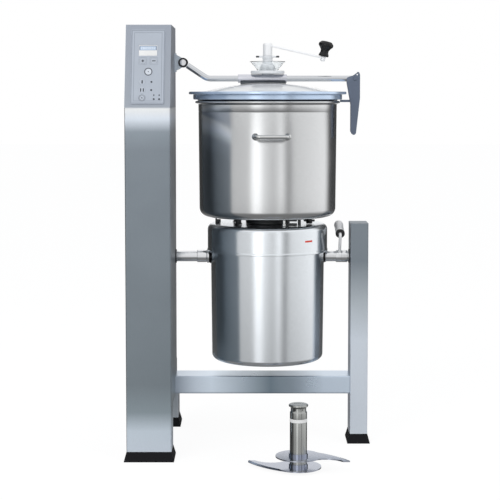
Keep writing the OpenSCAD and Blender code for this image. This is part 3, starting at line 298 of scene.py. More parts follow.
def mix_of(tree, factor, first, second, blend="MIX"):
    """Mixes two colours. The node keeps the sockets for colours at these places."""
    first_colour, second_colour, mixed_colour = 6, 7, 2
    made = node(tree, "ShaderNodeMix", data_type="RGBA", blend_type=blend)
    feed(tree, factor, made.inputs["Factor"])
    feed(tree, first, made.inputs[first_colour])
    feed(tree, second, made.inputs[second_colour])
    return made.outputs[mixed_colour]


def split_of(tree, kind):
    """Separate X, Y and Z of a kind of texture coordinate."""
    where = node(tree, "ShaderNodeTexCoord")
    split = node(tree, "ShaderNodeSeparateXYZ")
    tree.links.new(where.outputs[kind], split.inputs["Vector"])
    return split.outputs


def noise_of(tree, scale, detail, spread=(1, 1, 1)):
    """Noise in object space, stretched by a factor on each axis."""
    where = node(tree, "ShaderNodeTexCoord")
    mapping = node(tree, "ShaderNodeMapping")
    mapping.inputs["Scale"].default_value = spread
    noise = node(tree, "ShaderNodeTexNoise")
    noise.inputs["Scale"].default_value = scale
    noise.inputs["Detail"].default_value = detail
    tree.links.new(where.outputs["Object"], mapping.inputs["Vector"])
    tree.links.new(mapping.outputs["Vector"], noise.inputs["Vector"])
    return noise.outputs["Fac"]


def ramp_of(tree, source, stops):
    """Colour ramp with (position, colour) stops."""
    ramp = node(tree, "ShaderNodeValToRGB")
    points = ramp.color_ramp.elements
    while len(points) < len(stops):
        points.new(0.5)
    for point, (pos, colour) in zip(points, stops):
        point.position = pos
        point.color = (*colour, 1)
    tree.links.new(source, ramp.inputs["Fac"])
    return ramp.outputs["Color"]


def span_of(tree, noise, middle, share):
    """Turns noise into a value that varies by a share about its middle."""
    return range_of(tree, noise, 0.3, 0.7, middle * (1 - share), middle * (1 + share))


def tone_of(tree, noise, colour, share):
    """Turns noise into a colour that varies by a share about its middle."""
    ends = [tuple(min(1.0, c * factor) for c in colour) for factor in (1 - share, 1 + share)]
    return ramp_of(tree, noise, list(zip((0.3, 0.7), ends)))


def bumped(tree, bsdf, source, strength, distance):
    bump = node(tree, "ShaderNodeBump")
    bump.inputs["Strength"].default_value = strength
    bump.inputs["Distance"].default_value = distance
    tree.links.new(source, bump.inputs["Height"])
    tree.links.new(bump.outputs["Normal"], bsdf.inputs["Normal"])


def metal(name, colour, rough, spread, scale=260, vary=0.06, bump=0.12, metallic=1.0):
    """Brushed metal: fine lines and slow blotches vary its colour and gloss."""
    mat, tree, bsdf = new_material(name)
    lines = noise_of(tree, scale, 4.0, spread)
    tree.links.new(tone_of(tree, lines, colour, vary), bsdf.inputs["Base Color"])
    gloss = noise_of(tree, 9, 3.0)
    tree.links.new(span_of(tree, gloss, rough, 0.12), bsdf.inputs["Roughness"])
    bsdf.inputs["Metallic"].default_value = metallic
    bumped(tree, bsdf, lines, bump, 0.0002)
    return mat


def metal_with_painted_light(name, stops, low, high, rough, spread, along="Z"):
    """Brushed sheet whose colour changes along an axis, between two places in metres; its stops are painted
    reflections, highlights and shade.
    """
    mat, tree, bsdf = new_material(name)
    place = range_of(tree, split_of(tree, "Object")[along], low, high)
    painted_light_tone = ramp_of(tree, place, [((z - low) / (high - low), colour) for z, colour in stops])
    lines = noise_of(tree, 240, 4.0, spread)
    dimmed = ramp_of(tree, lines, [(0.3, (0.93, 0.93, 0.93)), (0.7, (1, 1, 1))])
    tree.links.new(mix_of(tree, 1.0, painted_light_tone, dimmed, "MULTIPLY"), bsdf.inputs["Base Color"])
    gloss = noise_of(tree, 7, 3.0)
    tree.links.new(span_of(tree, gloss, rough, 0.1), bsdf.inputs["Roughness"])
    bsdf.inputs["Metallic"].default_value = 0.9
    bumped(tree, bsdf, lines, 0.1, 0.0002)
    return mat


def moulded(name, colour, rough, scale=700, bump=0.15, vary=0.06, coat=0.0, metallic=0.0, gleam=0.5):
    """Moulded plastic or rubber with a fine grain."""
    mat, tree, bsdf = new_material(name)
    fine = noise_of(tree, scale, 2.0)
    slow = noise_of(tree, 14, 3.0)
    tree.links.new(tone_of(tree, slow, colour, vary), bsdf.inputs["Base Color"])
    tree.links.new(span_of(tree, fine, rough, 0.15), bsdf.inputs["Roughness"])
    bsdf.inputs["Metallic"].default_value = metallic
    bsdf.inputs["Specular IOR Level"].default_value = gleam
    if coat:
        bsdf.inputs["Coat Weight"].default_value = coat
        bsdf.inputs["Coat Roughness"].default_value = 0.08
    bumped(tree, bsdf, fine, bump, 0.0001)
    return mat


def clear(name, colour, rough, through):
    """Clear plastic with faint haze, that lets part of the light through."""
    mat, tree, bsdf = new_material(name)
    bsdf.inputs["Base Color"].default_value = (*colour, 1)
    bsdf.inputs["Transmission Weight"].default_value = through
    bsdf.inputs["IOR"].default_value = 1.45
    haze = noise_of(tree, 20, 2.0)
    tree.links.new(span_of(tree, haze, rough, 0.5), bsdf.inputs["Roughness"])
    return mat


# How much finer the brushed lines are along X, Y and Z
ROUND = (1, 1, 12)
UPRIGHT = (12, 12, 0.4)
LEVEL = (0.4, 12, 12)

bowl_steel = metal("bowl_steel_brushed", (0.70, 0.71, 0.72), 0.2, ROUND, scale=120)
unit_steel = metal("unit_steel_brushed", (0.84, 0.88, 0.92), 0.2, ROUND, scale=120)
chrome = metal("shaft_steel_polished", (0.80, 0.81, 0.83), 0.14, (3, 3, 3), vary=0.02, bump=0.02)
arm_steel = metal("arm_steel_polished", (0.68, 0.70, 0.73), 0.1, (3, 3, 3), vary=0.02, bump=0.02)
# Near-white and mostly not metal, so the crank, the tilt lever and the rivets read white: a painted sheen in
# place of the polished steel's reflection.
steel_painted_sheen = metal("crank_steel_painted_sheen", (0.98, 0.99, 1.0), 0.45, (3, 3, 3), vary=0.02, bump=0.02,
                     metallic=0.25)
handle_steel = metal("handle_steel_polished", (0.72, 0.73, 0.73), 0.16, (3, 3, 3), vary=0.03, bump=0.03)
# Column sheet by height: lighter near the floor, darker in the middle, and a bright band at the crease from
# 1.10 to 1.132 m. These are painted reflections and a painted highlight.
column_steel = metal_with_painted_light("column_sheet_painted_light", [
    (0.03, (0.72, 0.80, 0.90)), (0.10, (0.69, 0.78, 0.87)), (0.16, (0.32, 0.38, 0.42)),
    (0.25, (0.24, 0.28, 0.31)), (1.0, (0.27, 0.31, 0.35)), (1.06, (0.34, 0.39, 0.44)),
    (1.10, (0.84, 0.91, 1.0)), (1.132, (0.97, 0.99, 1.0)), (1.136, (0.42, 0.46, 0.52)),
    (1.40, (0.40, 0.44, 0.51))], 0.0, 1.42, 0.42, UPRIGHT)
# Right post by height: light up to 0.35 m and darker towards the top, as painted reflections of the studio.
post_steel = metal_with_painted_light("post_sheet_painted_light", [
    (0.03, (0.79, 0.86, 0.95)), (0.35, (0.79, 0.86, 0.95)), (0.48, (0.56, 0.62, 0.67)),
    (0.62, (0.26, 0.30, 0.34)), (0.75, (0.28, 0.32, 0.36))], 0.0, 0.76, 0.42, UPRIGHT)
# Crossbar along X: light towards the ends and a dark band under the drum, as painted reflections and painted
# shade of the drum.
beam_steel = metal_with_painted_light("beam_sheet_painted_light", [
    (-0.252, (0.55, 0.62, 0.72)), (-0.13, (0.76, 0.86, 0.97)), (0.07, (0.21, 0.27, 0.32)),
    (0.25, (0.66, 0.76, 0.88))], -0.26, 0.34, 0.3, LEVEL, along="X")
bracket_steel = metal("bracket_sheet", (0.58, 0.64, 0.70), 0.4, LEVEL, metallic=0.9)
back_steel = metal("back_sheet", (0.40, 0.44, 0.48), 0.42, UPRIGHT, metallic=0.9)
cutter_steel = metal("cutter_steel_turned", (0.44, 0.45, 0.44), 0.17, ROUND, scale=160)
blade_steel = metal("blade_steel_ground", (0.46, 0.49, 0.57), 0.15, (1, 1, 1), vary=0.05)
clamp_metal = metal("clamp_sheet", (0.14, 0.17, 0.23), 0.4, UPRIGHT, metallic=0.6)
iron = moulded("bearing_iron", (0.05, 0.05, 0.055), 0.45, scale=300, bump=0.3)
rubber = moulded("black_rubber", (0.007, 0.007, 0.009), 0.7, scale=500, bump=0.3, gleam=0.2)
black_gloss = moulded("black_knob_plastic", (0.007, 0.007, 0.008), 0.14, bump=0.03, gleam=0.35)
black_matt = moulded("black_fitting_plastic", (0.02, 0.02, 0.022), 0.42)
seat_dark = moulded("seat_plastic", (0.055, 0.06, 0.065), 0.4)
sleeve_steel = metal("sleeve_metal", (0.70, 0.71, 0.77), 0.12, LEVEL, vary=0.03, bump=0.03)
block_dark = moulded("arm_block_dark", (0.05, 0.06, 0.07), 0.35)
lid_blue = moulded("lid_rim_blue", (0.60, 0.74, 0.94), 0.18, bump=0.04, coat=0.5, metallic=0.6)
# The lid lets only 0.3 of the light through and is near-white otherwise: a painted reflection of the studio
# in the dome.
clear_lid_painted_reflection = clear("clear_lid_plastic", (0.97, 0.99, 1.0), 0.08, 0.3)
clear_cup = clear("clear_cup_plastic", (0.97, 0.99, 1.0), 0.03, 0.95)
hub_light = moulded("hub_light_plastic", (0.78, 0.80, 0.82), 0.3, bump=0.05)
white_plastic = moulded("white_plastic", (0.82, 0.82, 0.81), 0.35, bump=0.05)
grip_light = moulded("grip_plastic", (0.95, 0.96, 0.97), 0.35, bump=0.08)
panel_skin = moulded("panel_overlay", (0.42, 0.46, 0.52), 0.4, scale=900, bump=0.3, vary=0.03)
key_skin = moulded("key_overlay", (0.45, 0.49, 0.55), 0.35, scale=900, bump=0.1)
key_light = moulded("key_overlay_light", (0.62, 0.66, 0.72), 0.3, scale=900, bump=0.05)
ink = moulded("printed_ink", (0.03, 0.035, 0.045), 0.5, bump=0.02)
frame_ink = moulded("printed_frame", (0.24, 0.27, 0.32), 0.45, bump=0.02)
lcd_field = moulded("display_lcd", (0.50, 0.60, 0.74), 0.15, bump=0.0, coat=0.5)
lcd_digits = moulded("display_digits", (0.78, 0.86, 0.95), 0.2, bump=0.0)
lcd_frame = moulded("display_frame", (0.14, 0.2, 0.3), 0.2, bump=0.0)
red_mark = moulded("red_index_paint", (0.72, 0.06, 0.03), 0.4, bump=0.05)
copper = moulded("winding_copper", (0.45, 0.2, 0.09), 0.35, scale=200, bump=0.4)
drive_metal = metal("drive_aluminium", (0.5, 0.51, 0.52), 0.45, (1, 1, 1))


# Motor unit

drum_profile = rounded([
    (0, DRUM_Z), (187.5, DRUM_Z, 18), (191.5, 657), (189, 657), (185, DRUM_Z + 2.5, 15), (0, DRUM_Z + 2.5)],
    steps=8)
lathe("motor_drum_sheet", drum_profile, unit_steel, "bowl_unit", ["motor_drum"])

collar_profile = rounded([
    (192, COLLAR_Z + 0.6), (200.5, COLLAR_Z + 0.6), (203.4, COLLAR_Z, 0.8), (203.4, COLLAR_Z + 6, 2),
    (202, COLLAR_Z + 9, 2), (202, COLLAR_TOP, 20), (168, COLLAR_TOP, 1.5), (160, COLLAR_TOP - 1.2, 1.5),
    (19.5, COLLAR_TOP - 1.2), (19.5, COLLAR_TOP - 3), (199, COLLAR_TOP - 3, 17), (199, COLLAR_Z + 5),
    (192, COLLAR_Z + 5)], steps=8)
lathe("motor_collar_sheet", collar_profile, unit_steel, "bowl_unit", ["motor_collar"])

bm = bmesh.new()
low, high = COLLAR_TOP - 25, COLLAR_TOP - 3.2
turned(bm, [(19.6, low), (50.1, low), (50.1, high), (19.6, high)], 64, UNIT_AT)
link("upper_bearing_housing", bm, drive_metal, "bowl_unit")


def curved_mark(name, angle, height, radius, wide, tall, mat):
    """Thin painted mark that follows the collar's curve."""
    bm = bmesh.new()
    half = math.degrees(wide / 2 / radius)
    parts = 8
    outer, inner = [], []
    for k in range(parts + 1):
        a = math.radians(angle - half + 2 * half * k / parts)
        for row, r in ((outer, radius + 0.25), (inner, radius - 0.2)):
            row.append([bm.verts.new((UNIT_X + r * math.sin(a), AXIS_Y - r * math.cos(a), z))
                        for z in (height - tall / 2, height + tall / 2)])
    for k in range(parts):
        bm.faces.new((outer[k][0], outer[k + 1][0], outer[k + 1][1], outer[k][1]))
        bm.faces.new((inner[k][0], inner[k][1], inner[k + 1][1], inner[k + 1][0]))
        bm.faces.new((outer[k][1], outer[k + 1][1], inner[k + 1][1], inner[k][1]))
        bm.faces.new((outer[k][0], inner[k][0], inner[k + 1][0], outer[k + 1][0]))
    for k in (0, parts):
        bm.faces.new((outer[k][0], outer[k][1], inner[k][1], inner[k][0]))
    link(name, bm, mat, "bowl_unit")


curved_mark("index_mark", 41.5, 697, 202, 32, 6, red_mark)

# Shafts with their sleeves and seals. They start inside the drum and end inside the column and the post.
SHAFT_START = 168
SHAFT_DEEP = 46
for side, name, wall in ((-1, "left", COL_X1), (1, "right", POST_X)):
    bm = bmesh.new()
    inner_x = UNIT_X + side * SHAFT_START
    shaft_l = abs(wall + side * SHAFT_DEEP - inner_x)
    rod(bm, (inner_x, AXIS_Y, TILT_Z), (side, 0, 0), shaft_l, SHAFT_R, 0.8, 64)
    if side < 0:
        rod(bm, (UNIT_X - 205.6, AXIS_Y, TILT_Z), (-1, 0, 0), 32, 21, 1.2, 64)
    link(name + "_shaft_turned", bm, chrome, "bowl_unit", [name + "_shaft"])
bm = bmesh.new()
rod(bm, (UNIT_X - 190.6, AXIS_Y, TILT_Z), (-1, 0, 0), 5.4, 24, 1.5, 64)
rod(bm, (UNIT_X + 190.6, AXIS_Y, TILT_Z), (1, 0, 0), 3.6, 22, 1.5, 64)
link("shaft_seal_rings", bm, rubber, "bowl_unit", ["shaft_seals"])
bm = bmesh.new()
rod(bm, (UNIT_X - 195.8, AXIS_Y, TILT_Z), (-1, 0, 0), 9.2, 23, 2, 64)
rod(bm, (UNIT_X + 194, AXIS_Y, TILT_Z), (1, 0, 0), 4.2, 21, 1.5, 64)
link("shaft_seal_caps", bm, chrome, "bowl_unit")
for side, name, face in ((1, "left", COL_X1), (-1, "right", POST_X)):
    bm = bmesh.new()
    m = Matrix.Translation((face, AXIS_Y, TILT_Z)) @ Matrix.Rotation(math.radians(90 * side), 4, "Y")
    turned(bm, rounded([
        (SHAFT_R + GAP, -16), (40, -16, 1), (40, -2.2, 1), (23, -2.2), (23, 4, 1.2),
        (SHAFT_R + GAP, 4, 0.6)]), 72, m)
    link(name + "_bearing_ring", bm, iron, "stand", [name + "_bearing"])

# Seat and fittings between the motor unit and the bowl
lathe("bowl_seat_ring", rounded([
    (21.5, COLLAR_TOP), (73, COLLAR_TOP, 1.5), (73, COLLAR_TOP + 8, 1), (69, COLLAR_TOP + 9, 1),
    (69, BOWL_Z - 7, 1), (73, BOWL_Z - 6, 1), (73, BOWL_Z, 1), (21.5, BOWL_Z)]),
    seat_dark, "bowl_unit", ["bowl_seat"], seg=96)
bm = bmesh.new()
place = Matrix.Translation((UNIT_X, AXIS_Y, COLLAR_TOP))
turned(bm, rounded([
    (0, 0), (8, 0), (8, 6, 0.8), (6.5, 7, 0.5), (6.5, 18, 0.5), (8, 19, 0.8), (8, 25), (0, 25)]),
    40, place @ Matrix.Translation((54, -112, 0)), closed=False)
link("locating_stud", bm, handle_steel, "bowl_unit")
bm = bmesh.new()
block(bm, (66, -122, 0), (96, -102, 8), 0.8, place)
block(bm, (66, -122, 15), (96, -102, 21), 0.8, place)
block(bm, (66, -122, 7), (72, -102, 16), 0.8, place)
block(bm, (99, -122, 0), (109, -98, 19), 1, place)
block(bm, (-176, -10, 0), (-158, 10, 12), 1.2, place)
block(bm, (-176, -10, 11), (-171, 10, 20), 1, place)
for angle in (60, 110, 160, 210):
    a = math.radians(angle)
    at = place @ Matrix.Translation((112 * math.cos(a), 112 * math.sin(a), 0))
    turned(bm, rounded([
        (0, 0), (12, 0), (12, 3, 0.6), (9, 4, 1), (9, 19, 1), (12, 20, 1), (12, 25), (0, 25)]),
        32, at, closed=False)
lock_at = Matrix.Translation((199, 50, COLLAR_TOP))
turned(bm, [(0, 0), (LOCK_R, 0), (LOCK_R, 23), (LOCK_R - 1, 24), (0, 24)], 32, lock_at, closed=False)
link("bowl_fitting_set", bm, seat_dark, "bowl_unit", ["bowl_fittings"])
bm = bmesh.new()
turned(bm, rounded([
    (LOCK_R + GAP, 0.3), (10.5, 0.3, 1), (10.5, 7, 0.8), (8.5, 8.5, 0.8), (8.5, 14, 1), (10.5, 16, 1),
    (10.5, 24.7, 1.2), (LOCK_R + GAP, 24.7)]), 40, lock_at)
for turn in (0, 180, 90, 270):
    block(bm, (8, -3.6, 7), (18.5, 3.6, 14), 1.6, lock_at @ Matrix.Rotation(math.radians(turn), 4, "Z"), 3)
link("bowl_lock_wing_knob", bm, black_matt, "lock_knob", ["bowl_lock_knob"])


# Bowl

def wall_r(z):
    """Outer radius of the bowl's wall, which widens by 3.5 mm from its foot to its lip."""
    foot_r, foot_z = 229, 798
    return foot_r + 3.5 * (z - foot_z) / (BOWL_TOP - foot_z)


bowl_profile = rounded([
    (20.5, BOWL_Z), (229, BOWL_Z, 28), (wall_r(1119), 1119), (wall_r(1120) - 0.6, 1120), (wall_r(1121), 1121),
    (232.5, BOWL_TOP - 12, 3), (242.6, BOWL_TOP - 7.5, 1.5), (243, BOWL_TOP - 5, 1.5),
    (242, BOWL_TOP - 1.5, 1.5), (235.5, BOWL_TOP, 1), (229.5, BOWL_TOP, 1), (226, BOWL_Z + 3, 25),
    (23, BOWL_Z + 3, 8), (23, 948, 1), (20.5, 948, 0.8)], steps=8)
lathe("bowl_shell", bowl_profile, bowl_steel, "bowl_unit", ["bowl", "bowl_flange"], seg=200)


def bowl_handle(name, turn, cad):
    """Bent round bar on two welded feet: half is half its width, r the radius of its bends."""
    bm = bmesh.new()
    z = 1042
    y = -(wall_r(z) + 37)
    root_y = -226
    half = 52
    r = 14
    path = [(-half, root_y, z), (-half, y + r + 12, z), (-half, y + r, z)]
    path += bend((-half + r, y + r, z), r, 180, 270, "xy")[1:]
    path += bend((half - r, y + r, z), r, 270, 360, "xy")
    path += [(half, y + r + 12, z), (half, root_y, z)]
    bar(bm, path, 6.4, 28)
    for side in (-1, 1):
        foot = Matrix.Translation((side * half, -wall_r(z) + 3, z)) @ TO_FRONT
        turned(bm, rounded([(0, -3), (11.2, -3), (11.2, 4, 2.5), (6.2, 10, 2), (6.2, 12), (0, 12)]),
               32, foot, closed=False)
    spin = UNIT_AT @ Matrix.Rotation(math.radians(turn), 4, "Z")
    bmesh.ops.transform(bm, matrix=spin, verts=bm.verts)
    link(name, bm, handle_steel, "bowl_unit", [cad])


bowl_handle("front_bowl_handle", 2.5, "front_handle")
bowl_handle("back_bowl_handle", 182.5, "back_handle")


# Lid

rim_profile = rounded([
    (212, RIM_Z + 2, 1), (214, RIM_Z, 0.5), (229.5, RIM_Z), (229.5, RIM_Z + 4), (235, RIM_Z + 4),
    (235, RIM_Z), (248, RIM_Z, 1.5), (250, RIM_Z + 2, 1), (250, RIM_TOP - 10, 3), (263, RIM_TOP - 9, 1),
    (264.4, RIM_TOP - 7.5, 1), (264.4, RIM_TOP - 1.6, 1), (263, RIM_TOP, 1), (256, RIM_TOP, 0.5),
    (254, RIM_TOP - 1.2, 0.5), (224, RIM_TOP - 1.2, 0.5), (222, RIM_TOP, 0.5), (217.1, RIM_TOP),
    (217.1, RIM_TOP - 4), (212, RIM_TOP - 4)], steps=4)
lathe("lid_rim_ring", rim_profile, lid_blue, "lid", ["lid_rim"], seg=200)

DOME_R = 217
DOME_H = 29
SPHERE_R = (DOME_R ** 2 + DOME_H ** 2) / (2 * DOME_H)
DOME_Z = DOME_TOP - SPHERE_R


def dome_z(radius, r):
    """Height of a sphere about the dome's centre, at a distance from the axis."""
    return DOME_Z + math.sqrt(radius ** 2 - r ** 2)


def cap_arc(radius, r0, r1):
    """Points on such a sphere between two distances from the axis."""
    spots = [r0 + (r1 - r0) * k / CAP_STEPS for k in range(CAP_STEPS + 1)]
    return [(r, dome_z(radius, r)) for r in spots]


dome_profile = ([(216.9, RIM_TOP - 4)] + cap_arc(SPHERE_R, 216.9, 7.5) + cap_arc(SPHERE_R - 3, 7.5, 212.2)
                + [(212.5, RIM_TOP - 4)])
lathe("lid_dome_clear", dome_profile, clear_lid_painted_reflection, "lid", ["lid_dome"], seg=200)
lathe("lid_seal_ring", rounded([
    (229.8, 1158.5, 1), (230.8, 1157.5, 0.6), (233.8, 1157.5, 0.6), (234.8, 1158.5, 1), (234.8, 1164.4),
    (229.8, 1164.4)]), rubber, "lid", ["lid_seal"])
lathe("hub_base_disc", rounded([
    (6.4, HUB_Z - 2.8), (19, HUB_Z - 2.8), (19, HUB_Z), (56.5, HUB_Z, 2), (56.5, HUB_TOP, 3),
    (40, HUB_TOP, 1), (38, HUB_TOP - 1, 1), (31, HUB_TOP - 1, 1), (29, HUB_TOP, 1), (6.4, HUB_TOP)]),
    hub_light, "lid", ["hub_base"], seg=96)
lathe("feed_cup_clear", rounded([
    (33.5, HUB_TOP + 0.05), (36, HUB_TOP + 0.05), (36, HUB_TOP + 4, 2), (57, HUB_TOP + 29, 1.5),
    (60, HUB_TOP + 29, 0.8), (60, HUB_TOP + 31, 0.8), (54.5, HUB_TOP + 31, 1), (33.5, HUB_TOP + 5, 2)]),
    clear_cup, "lid", ["feed_cup"], seg=120)
bm = bmesh.new()
turned(bm, rounded([
    (6.1, HUB_TOP), (28, HUB_TOP, 1), (28, HUB_TOP + 6, 2), (23, HUB_TOP + 20, 3), (17, HUB_TOP + 24, 2),
    (17, BOSS_TOP - 8, 1), (15.5, BOSS_TOP - 7, 0.5), (15.5, BOSS_TOP - 5, 0.5), (17, BOSS_TOP - 4, 1),
    (17, BOSS_TOP + 7, 1.5), (6.1, BOSS_TOP + 7)]), 72, UNIT_AT)
for side in (0, 180):
    turn = UNIT_AT @ Matrix.Rotation(math.radians(side), 4, "Z")
    prism(bm, rounded([(15, -6), (36, -5, 3), (40, 0, 4), (36, 5, 3), (15, 6)]),
          BOSS_TOP + 1.2, BOSS_TOP + 6.8, turn, 1.2)
link("hub_boss_winged", bm, hub_light, "lid", ["hub_boss"])
bm = bmesh.new()
for side in (0, 180):
    turn = UNIT_AT @ Matrix.Rotation(math.radians(side), 4, "Z")
    prism(bm, rounded([(27, -5.4), (36.2, -5.2, 3), (40.2, 0, 4), (36.2, 5.2, 3), (27, 5.4)]),
          BOSS_TOP + 1, BOSS_TOP + 7, turn, 1.2)
link("hub_wing_tips", bm, seat_dark, "lid")

# Arm with its sleeve and block
bm = bmesh.new()
pivot_at = Matrix.Translation((PIVOT_X, AXIS_Y, PIVOT_Z))
bend_drop = ARM_BEND * (1 - math.cos(ARM_SLOPE))
slope_l = (PIVOT_Z - ARM_Z - bend_drop) / math.sin(ARM_SLOPE)
bend_x = PIVOT_X + slope_l * math.cos(ARM_SLOPE) + ARM_BEND * math.sin(ARM_SLOPE)
path = [(PIVOT_X + far * math.cos(ARM_SLOPE), AXIS_Y, PIVOT_Z - far * math.sin(ARM_SLOPE))
        for far in (17, 30)]
path += bend((bend_x, AXIS_Y, ARM_Z + ARM_BEND), ARM_BEND, 270 - math.degrees(ARM_SLOPE), 270, "xz")
path += [(x, AXIS_Y, ARM_Z) for x in (0, 200, 345, 355, 359, 361)]
bar(bm, path, [ARM_R] * (len(path) - 2) + [ARM_R - 0.6, ARM_R - 2], 40)
eye = pivot_at @ TO_FRONT
turned(bm, rounded([(PIN_R + GAP, -7.5), (15, -7.5, 1.2), (15, 7.5, 1.2), (PIN_R + GAP, 7.5)]), 56, eye)
neck = pivot_at @ Matrix.Rotation(ARM_SLOPE, 4, "Y")
block(bm, (8, -7, -6), (22, 7, 6), 0.8, neck)
link("arm_round_bar", bm, arm_steel, "lid", ["arm_bar"])

# Pivot pin with its two cups
for end, turn in (("front", 90), ("back", -90)):
    m = pivot_at @ Matrix.Rotation(math.radians(turn), 4, "X")
    bm = bmesh.new()
    turned(bm, rounded([(0, 14), (16, 14, 0.5), (16, 18.8, 1), (12.5, 18.8, 0.8), (11.5, 17.2), (0, 17.2)]),
           56, m, closed=False)
    link("pivot_cup_" + end, bm, black_matt, "stand", ["arm_pivot_pin"])
    bm = bmesh.new()
    turned(bm, rounded([(0, 17), (10.6, 17), (10.6, 18.3, 0.8), (0, 18.3)]), 56, m, closed=False)
    link("pivot_pin_" + end, bm, chrome, "stand")

bm = bmesh.new()
m = Matrix.Translation((-40, AXIS_Y, ARM_Z)) @ TO_RIGHT
turned(bm, rounded([(ARM_R + GAP, 0), (14.2, 0, 1), (14.2, 163, 1), (ARM_R + GAP, 163)]), 64, m)
link("arm_sleeve_tube", bm, sleeve_steel, "lid", ["arm_sleeve"])
bm = bmesh.new()
saddle_x0, saddle_x1 = -32, 120
spots = [saddle_x0 + (saddle_x1 - saddle_x0) * k / CAP_STEPS for k in range(CAP_STEPS + 1)]
outline = [(x, dome_z(SPHERE_R + 0.5, x - UNIT_X)) for x in spots]
outline += [(saddle_x1, ARM_Z - 13), (saddle_x1 - 4, ARM_Z - 10), (saddle_x0 + 4, ARM_Z - 10),
            (saddle_x0, ARM_Z - 13)]
m = Matrix.Translation((0, AXIS_Y, 0)) @ TO_FRONT
prism(bm, outline, -17, 17, m, 0.8)
link("arm_saddle_block", bm, block_dark, "lid")

# Crank, wiper shaft and knob
bm = bmesh.new()
turned(bm, rounded([
    (0, CRANK_Z), (15.5, CRANK_Z, 1), (15.5, CRANK_Z + 38, 2.5), (11.5, CRANK_Z + 42, 2.5),
    (0, CRANK_Z + 42)]), 64, UNIT_AT, closed=False)
turned(bm, [(0, 1199.2), (PIN_R, 1199.2), (PIN_R, CRANK_Z + 1), (0, CRANK_Z + 1)], 40, UNIT_AT, closed=False)
tilt = Matrix.Translation((UNIT_X, AXIS_Y, CRANK_Z + 36)) @ Matrix.Rotation(CRANK_SLOPE, 4, "Y")
crank_l = (CRANK_END[0] - UNIT_X) / math.cos(CRANK_SLOPE)
block(bm, (4, -8, -3), (crank_l, 8, 3), 1.4, tilt, 3)
tip = Matrix.Translation((CRANK_END[0], AXIS_Y, CRANK_END[1])) @ Matrix.Rotation(CRANK_SLOPE, 4, "Y")
turned(bm, rounded([
    (0, -12), (5.5, -12), (5.5, -10, 0.5), (8, -10, 1), (8, -5, 0.5), (7, -4.6), (7, -3), (8, -3),
    (8, 4, 0.6), (KNOB_PIN_R, 4), (KNOB_PIN_R, 52.5), (0, 52.5)]), 48, tip, closed=False)
link("wiper_crank_bar", bm, steel_painted_sheen, "wiper", ["wiper_crank"])
bm = bmesh.new()
foot = 4.3
turned(bm, rounded([
    (KNOB_PIN_R + GAP, foot), (15, foot, 1.5), (17, foot + 2.5, 1), (16.8, foot + 5.5, 1.5),
    (13.5, foot + 14, 5), (13.5, foot + 21, 6), (18, foot + 28, 6), (24.9, foot + 36, 4),
    (24.6, foot + 43, 5), (17, foot + 51, 8), (0, foot + 53), (0, foot + 49.2),
    (KNOB_PIN_R + GAP, foot + 49.2)], steps=8), 72, tip)
link("crank_grip_knob", bm, black_gloss, "knob", ["crank_knob"])

# Clamp lever, folded from sheet, with its pin
clamp_at = Matrix.Translation((CLAMP_X, AXIS_Y, ARM_Z)) @ TO_FRONT
cheek = rounded([
    (11, 22, 2), (14, 20, 2), (16.6, 12, 6), (16.6, -66, 20), (4, -183, 4), (0, -188, 2), (-4.5, -189, 2),
    (-10, -185, 3), (-14, -177, 5), (-14, -87, 25), (-26, -20, 25), (-29, 2, 6), (-17, 7, 4), (-6, 10, 5)])
spine = [(8, 22), (11, 22), (14, 20), (16.6, 12), (16.6, -66), (4, -183), (0, -188), (-4.5, -189),
         (-4.5, -186), (-1.5, -185.5), (1, -182), (13.6, -66), (13.6, 11), (11.5, 18.5)]
bm = bmesh.new()
prism(bm, cheek, 10.4, 13.3, clamp_at, 0.8)
prism(bm, cheek, -13.3, -10.4, clamp_at, 0.8)
prism(bm, spine, -12.9, 12.9, clamp_at)
for side in (-1, 1):
    rod(bm, (CLAMP_X, AXIS_Y + side * 12.8, ARM_Z), (0, side, 0), 2.6, 7, 0.8)
    rod(bm, (CLAMP_X, AXIS_Y + side * 15, ARM_Z), (0, side, 0), 0.9, 3.4, 0.3)
rod(bm, (CLAMP_X, AXIS_Y - 13, ARM_Z), (0, 1, 0), 26, 4)
link("clamp_lever_folded", bm, clamp_metal, "clamp", ["clamp_lever"])
bm = bmesh.new()
for side in (-1, 1):
    rod(bm, (CLAMP_X + 7, AXIS_Y + side * 13.2, ARM_Z + 13), (0, side, 0), 1.2, 2.5, 0.4)
link("clamp_spring_rivets", bm, steel_painted_sheen, "clamp")

# Tilt lever with its grip
GRIP_LEAN = math.radians(76)
LEVER_R = 5
LEVER_BEND = 9
lever_at = Vector((LEVER_X, AXIS_Y, TILT_Z))
reach = Vector((0, -45, 77))
near = lever_at + reach
up = reach.normalized()
back = Vector((0, math.sin(GRIP_LEAN), math.cos(GRIP_LEAN)))
bm = bmesh.new()
m = Matrix.Translation((LEVER_X - 12, AXIS_Y, TILT_Z)) @ TO_RIGHT
turned(bm, rounded([
    (SHAFT_R + GAP, 0), (21, 0, 1.2), (21, 17), (20.4, 17.4), (20.4, 18.4), (21, 18.8), (21, 38, 1.2),
    (SHAFT_R + GAP, 38)]), 64, m)
link("tilt_lever_hub", bm, chrome, "tilt_handle")
bm = bmesh.new()
first = lever_at + up * 19
corner = [near - up * LEVER_BEND * (1 - k / 8) ** 2 + back * LEVER_BEND * (k / 8) ** 2 for k in range(9)]
bar(bm, [first, near - up * 12] + corner + [near + back * 104], LEVER_R, 28)
link("tilt_lever_bent", bm, steel_painted_sheen, "tilt_handle", ["tilt_lever"])
grip_at = Matrix.Translation(near) @ Matrix.Rotation(-GRIP_LEAN, 4, "X")
bm = bmesh.new()
